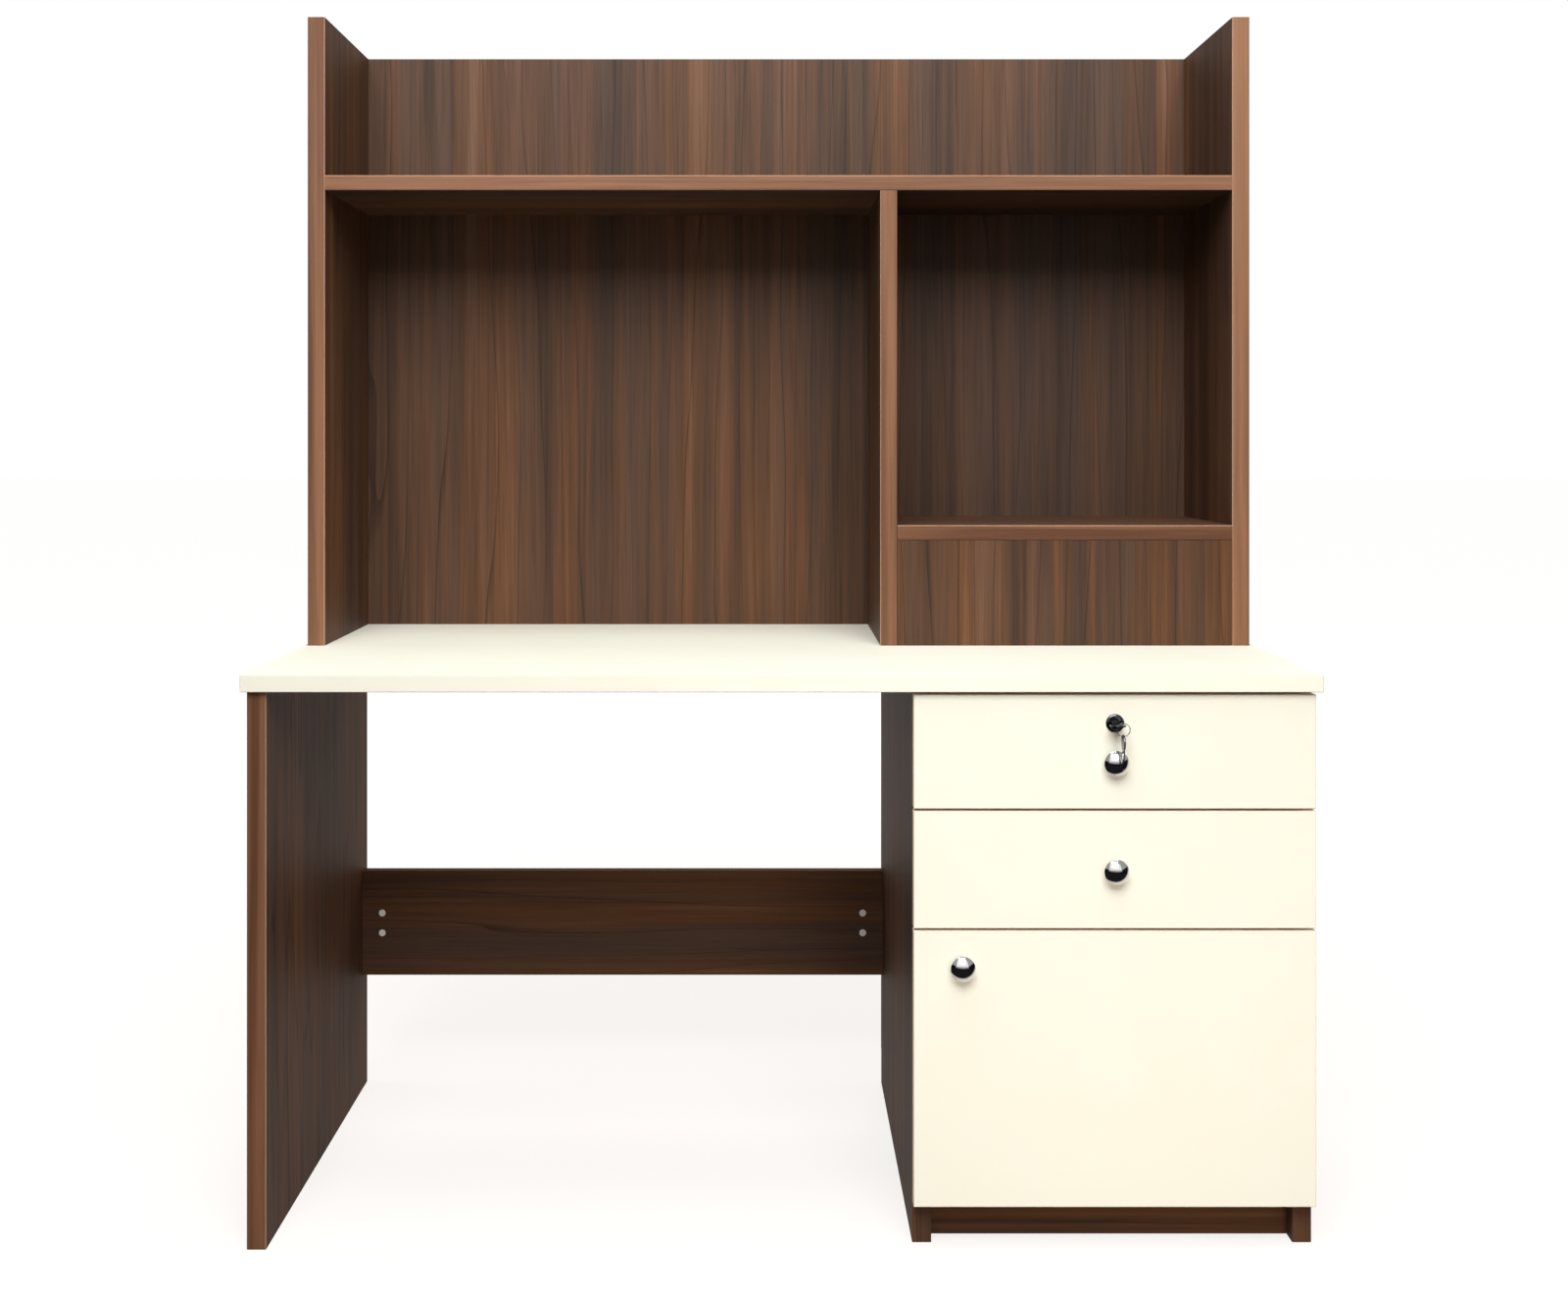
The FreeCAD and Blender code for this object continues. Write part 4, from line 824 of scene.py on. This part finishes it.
def crowned_disc(tree, radius, height, crown):
    """A disc from the origin up along z, whose top falls off to its rim by the crown's height."""
    sizes = {"Radius": radius, "Depth": height}
    counts = {"Vertices": DISC_SIDES, "Side Segments": 1, "Fill Segments": DISC_RINGS}
    disc = add(tree, "GeometryNodeMeshCylinder", {**sizes, **counts}, fill_type="TRIANGLE_FAN")
    place = add(tree, "GeometryNodeInputPosition").outputs["Position"]
    parts = add(tree, "ShaderNodeSeparateXYZ", {"Vector": place}).outputs
    flat = add(tree, "ShaderNodeCombineXYZ", {"X": parts["X"], "Y": parts["Y"]}).outputs["Vector"]
    reach = add(tree, "ShaderNodeVectorMath", {0: flat}, operation="LENGTH").outputs["Value"]
    share = maths(tree, "DIVIDE", reach, radius)
    fall = maths(tree, "MULTIPLY", maths(tree, "POWER", share, CROWN_FALL), crown)
    on_top = maths(tree, "GREATER_THAN", parts["Z"], 0.0)
    lift = maths(tree, "MULTIPLY", height, 0.5)
    rise = maths(tree, "SUBTRACT", lift, maths(tree, "MULTIPLY", fall, on_top))
    raised = {"Geometry": disc.outputs["Mesh"], "Offset": upwards(tree, rise)}
    return add(tree, "GeometryNodeSetPosition", raised).outputs["Geometry"]


def set_on_seats(tree, seats, shape, material):
    """The shape on every seat, facing its way with its own spin, as one real mesh."""
    named = {"Name": "facing"}
    facing = add(tree, "GeometryNodeInputNamedAttribute", named, data_type="FLOAT_VECTOR")
    direction = {"Vector": facing.outputs["Attribute"]}
    turn = add(tree, "FunctionNodeAlignRotationToVector", direction, axis="Z").outputs["Rotation"]
    seated = {"Points": seats, "Instance": shape, "Rotation": turn}
    copies = add(tree, "GeometryNodeInstanceOnPoints", seated).outputs["Instances"]
    limits = {RANDOM_LEAST: 0.0, RANDOM_MOST: math.pi, "Seed": SPIN_SEED}
    spin = add(tree, "FunctionNodeRandomValue", limits, data_type="FLOAT").outputs[RANDOM_VALUE]
    spun = add(tree, "GeometryNodeRotateInstances", {"Instances": copies, "Rotation": upwards(tree, spin)})
    real = add(tree, "GeometryNodeRealizeInstances", {"Geometry": spun.outputs["Instances"]})
    coated = {"Geometry": real.outputs["Geometry"], "Material": material}
    finished = add(tree, "GeometryNodeSetMaterial", coated)
    add(tree, "NodeGroupOutput", {"Geometry": finished.outputs["Geometry"]})


# The sizes that the node trees of screws and caps take.
SCREW_SIZES = ("Head Radius", "Head Height", "Shank Radius", "Shank Length", "Cross Length", "Cross Width")
CAP_SIZES = ("Radius", "Height", "Crown")
# Shares of a screw head's height and radius, of a shank's length and of a cap's height.
HEAD_CROWN = 0.55
CROSS_DEPTH = 0.62
CROSS_LENGTH = 1.15
CROSS_WIDTH = 0.26
POINT_SHARE = 0.3
CAP_CROWN = 0.6
TIP_DOWN = (math.pi, 0.0, 0.0)
SCREW_NODES = (
    "back_panel_screws",
    "fitting_screws",
    "drawer_1_knob_screw",
    "drawer_2_knob_screw",
    "door_knob_screw",
)


def cut_head(tree, given):
    """A screw's crowned head, with a cross cut in its top."""
    height = given["Head Height"]
    head = crowned_disc(tree, given["Head Radius"], height, maths(tree, "MULTIPLY", height, HEAD_CROWN))
    cut = add(tree, "GeometryNodeMeshBoolean", {"Mesh 1": head}, operation="DIFFERENCE", solver="EXACT")
    depth = maths(tree, "MULTIPLY", height, 2 * CROSS_DEPTH)
    for across, along in (("Cross Length", "Cross Width"), ("Cross Width", "Cross Length")):
        size = add(tree, "ShaderNodeCombineXYZ", {"X": given[across], "Y": given[along], "Z": depth})
        arm = add(tree, "GeometryNodeMeshCube", {"Size": size.outputs["Vector"]}).outputs["Mesh"]
        tree.links.new(moved(tree, arm, upwards(tree, height)), cut.inputs["Mesh 2"])
    return cut.outputs["Mesh"]


def pointed_shank(tree, given):
    """A screw's round shank below its head, and the point on its end."""
    length, radius = given["Shank Length"], given["Shank Radius"]
    point_length = maths(tree, "MULTIPLY", length, POINT_SHARE)
    shank_length = maths(tree, "SUBTRACT", length, point_length)
    bar = {"Vertices": SHANK_SIDES, "Radius": radius, "Depth": shank_length}
    shank = add(tree, "GeometryNodeMeshCylinder", bar).outputs["Mesh"]
    cone = {"Vertices": SHANK_SIDES, "Radius Bottom": radius, "Depth": point_length}
    point = add(tree, "GeometryNodeMeshCone", cone).outputs["Mesh"]
    shank_middle = upwards(tree, maths(tree, "MULTIPLY", shank_length, -0.5))
    shank_end = upwards(tree, maths(tree, "MULTIPLY", shank_length, -1.0))
    return moved(tree, shank, shank_middle), moved(tree, point, shank_end, TIP_DOWN)


def screw_tree(material):
    """Cross-headed screws: a head, a shank and a point."""
    tree, given = new_tree("cross_head_screws", SCREW_SIZES)
    whole = add(tree, "GeometryNodeJoinGeometry")
    for piece in (cut_head(tree, given), *pointed_shank(tree, given)):
        tree.links.new(piece, whole.inputs["Geometry"])
    set_on_seats(tree, given["Seats"], whole.outputs["Geometry"], material)
    return tree


def cap_tree(material):
    """Cover caps: crowned discs."""
    tree, given = new_tree("cover_caps", CAP_SIZES)
    cap = crowned_disc(tree, given["Radius"], given["Height"], given["Crown"])
    set_on_seats(tree, given["Seats"], cap, material)
    return tree


def repeated(name, node, tree, seats, sizes):
    """The tree's shape on all seats of a node, as one plain mesh without slivers that stands for it."""
    points = bpy.data.meshes.new(f"{name}_seats")
    points.from_pydata([seat for seat, facing in seats], [], [])
    directions = points.attributes.new("facing", "FLOAT_VECTOR", "POINT")
    for entry, (seat, facing) in zip(directions.data, seats):
        entry.vector = facing
    holder = put_in_scene(name, points)
    pattern = holder.modifiers.new("pattern", "NODES")
    pattern.node_group = tree
    for socket in tree.interface.items_tree:
        if socket.name in sizes:
            pattern[socket.identifier] = sizes[socket.name]
    mesh = plain_mesh(holder)
    work = bmesh.new()
    work.from_mesh(mesh)
    bmesh.ops.triangulate(work, faces=work.faces)
    bmesh.ops.dissolve_degenerate(work, edges=work.edges, dist=MERGE_DISTANCE)
    work.to_mesh(mesh)
    work.free()
    show(name, mesh, node)


def set_screws():
    """A cross-headed screw for every plain one, in the sizes of its node."""
    tree = screw_tree(FINISHES["zinc_steel"])
    for node in SCREW_NODES:
        screws = [screw_at(points) for points in solids_of(node)]
        seats = [(seat, facing) for seat, facing, sizes in screws]
        sizes = screws[0][2]
        sizes["Cross Length"] = CROSS_LENGTH * sizes["Head Radius"]
        sizes["Cross Width"] = CROSS_WIDTH * sizes["Head Radius"]
        repeated(f"cross_head_{node}", node, tree, seats, sizes)


def set_caps():
    """The cover caps on the modesty rail, facing the front."""
    seats = []
    for points in solids_of("rail_cam_caps"):
        left, right = spread(points, 0)
        front, back = spread(points, 1)
        bottom, top = spread(points, 2)
        seats.append((Vector(((left + right) / 2, back, (bottom + top) / 2)), -BACKWARDS))
    height = back - front
    sizes = {"Radius": (right - left) / 2, "Height": height, "Crown": CAP_CROWN * height}
    repeated("crowned_rail_caps", "rail_cam_caps", cap_tree(FINISHES["white_plastic"]), seats, sizes)


def make_camera():
    """The picture's camera."""
    lens = bpy.data.cameras.new("picture_camera")
    lens.sensor_width = SENSOR_WIDTH
    lens.lens = FOCAL_PIXELS * SENSOR_WIDTH / IMAGE_WIDTH
    lens.shift_x, lens.shift_y = CAMERA_SHIFT
    camera = put_in_scene("picture_camera", lens)
    camera.location = CAMERA_PLACE
    camera.rotation_euler = (math.pi / 2, 0, 0)
    bpy.context.scene.camera = camera


def seen_directly(tree):
    """One for what the camera sees, less for what mirrors see, nought for the light on the desk."""
    path = add(tree, "ShaderNodeLightPath").outputs
    mirrored = maths(tree, "MULTIPLY", path["Is Glossy Ray"], MIRROR_SHARE)
    direct = maths(tree, "MAXIMUM", path["Is Camera Ray"], mirrored)
    return maths(tree, "MAXIMUM", direct, path["Is Transmission Ray"])


def make_world():
    """White surroundings with an even, soft light."""
    world = bpy.data.worlds.new("white_room")
    bpy.context.scene.world = world
    tree = emptied_tree(world)
    strength = span(tree, seen_directly(tree), 0.0, 1.0, WORLD_STRENGTH, 1.0)
    colour = blend_colour(tree, seen_directly(tree), WARM_SHADE, WHITE)
    background = add(tree, "ShaderNodeBackground", {"Color": colour, "Strength": strength})
    add(tree, "ShaderNodeOutputWorld", {"Surface": background.outputs["Background"]})


def strip(first, second, reach):
    """The corners of a panel that runs from left to right between two (y, z) lines."""
    return [(-reach, *first), (reach, *first), (reach, *second), (-reach, *second)]


def flat_panels(name, panels, material):
    """One flat object of the stage, with the corners of each of its panels."""
    corners, faces = [], []
    for panel in panels:
        faces.append(range(len(corners), len(corners) + len(panel)))
        corners += panel
    mesh = bpy.data.meshes.new(name)
    mesh.from_pydata(corners, [], [tuple(face) for face in faces])
    coat(mesh, material)
    return put_in_scene(name, mesh)


def make_floor():
    """A pale floor that looks white and keeps the desk's shadow."""
    material = bpy.data.materials.new("pale_floor")
    tree = emptied_tree(material)
    paint = add(tree, "ShaderNodeBsdfDiffuse", {"Color": FLOOR_COLOUR})
    place = add(tree, "ShaderNodeTexCoord").outputs["Object"]
    distance = add(tree, "ShaderNodeVectorMath", {0: place}, operation="LENGTH").outputs["Value"]
    glow = span(tree, distance, FLOOR_NEAR, FLOOR_FAR, FLOOR_GLOW_NEAR, FLOOR_GLOW_FAR)
    strength = maths(tree, "MULTIPLY", seen_directly(tree), glow)
    lift = add(tree, "ShaderNodeEmission", {"Color": WHITE, "Strength": strength})
    both = add(tree, "ShaderNodeAddShader", {0: paint.outputs["BSDF"], 1: lift.outputs["Emission"]})
    add(tree, "ShaderNodeOutputMaterial", {"Surface": both.outputs["Shader"]})
    floor = flat_panels("floor", [strip((-FLOOR_REACH, 0), (FLOOR_REACH, 0), FLOOR_REACH)], material)


def for_metal_only(name, panels, kind, colour):
    """Panels that only polished surfaces see, so that metal shows its shape."""
    material = bpy.data.materials.new(name)
    tree = emptied_tree(material)
    paint = add(tree, kind, {"Color": colour})
    add(tree, "ShaderNodeOutputMaterial", {"Surface": paint.outputs[0]})
    sheet = flat_panels(name, panels, material)
    for rays in ("camera", "diffuse", "transmission", "volume_scatter", "shadow"):
        setattr(sheet, f"visible_{rays}", False)


def make_sheets():
    """A dark tray on the floor in front of the desk, and a white card above the camera."""
    near, far = (TRAY_NEAR, TRAY_LIFT), (TRAY_FAR, TRAY_LIFT)
    tray = [strip(near, far, TRAY_REACH), strip(far, (TRAY_FAR, TRAY_END), TRAY_REACH)]
    for x in (-TRAY_REACH, TRAY_REACH):
        tray.append([(x, *near), (x, *far), (x, TRAY_FAR, TRAY_SIDE), (x, TRAY_NEAR, TRAY_SIDE)])
    for_metal_only("dark_tray", tray, "ShaderNodeBsdfDiffuse", TRAY_COLOUR)
    card = [strip((CARD_PLACE, CARD_LOW), (CARD_PLACE, CARD_HIGH), CARD_REACH)]
    for_metal_only("white_card", card, "ShaderNodeEmission", WHITE)


def make_lamp(name, place, target, size, power, mirrored=True, colour=WHITE, beam=math.pi):
    """A soft panel lamp that points at a target; metal may mirror it, and the camera never sees it."""
    light = bpy.data.lights.new(name, "AREA")
    light.shape = "RECTANGLE"
    light.size, light.size_y = size
    light.energy = power
    light.color = colour[:3]
    light.spread = beam
    lamp = put_in_scene(name, light)
    lamp.location = place
    aim = Vector(target) - Vector(place)
    lamp.rotation_euler = aim.to_track_quat("-Z", "Y").to_euler()
    lamp.visible_camera = False
    lamp.visible_glossy = mirrored


def make_lamps():
    """A key and a top light, a weak warm fill low in front, one panel on each side and one behind."""
    make_lamp("key_panel", place=(0.0, -2.5, 3.0), target=(0.0, 0.1, 0.8), size=(2.6, 1.8), power=130)
    make_lamp("top_panel", place=(0.0, -0.8, 3.4), target=(0.0, -0.2, 0.7), size=(2.6, 1.0), power=38)
    make_lamp(
        "low_panel",
        place=(0.8, -2.6, 0.5),
        target=(0.45, -0.3, 0.12),
        size=(0.9, 0.4),
        power=1.6,
        mirrored=False,
        colour=WARM_SHADE,
        beam=LOW_BEAM,
    )
    for name, side in (("left_panel", -1), ("right_panel", 1)):
        make_lamp(
            name,
            place=(3.2 * side, 0.5, 0.95),
            target=(0.7 * side, 0.1, 0.85),
            size=(1.4, 1.4),
            power=42,
            mirrored=False,
        )
    make_lamp(
        "back_panel",
        place=(0.0, 3.5, 2.6),
        target=(0.0, 0.3, 0.8),
        size=(2.6, 1.6),
        power=75,
        mirrored=False,
    )


finish_nodes()
turn_knobs()
turn_bezel()
cut_keys()
wind_ring()
set_screws()
set_caps()

make_camera()
make_world()
make_floor()
make_sheets()
make_lamps()
bpy.context.scene.view_settings.view_transform = "Standard"
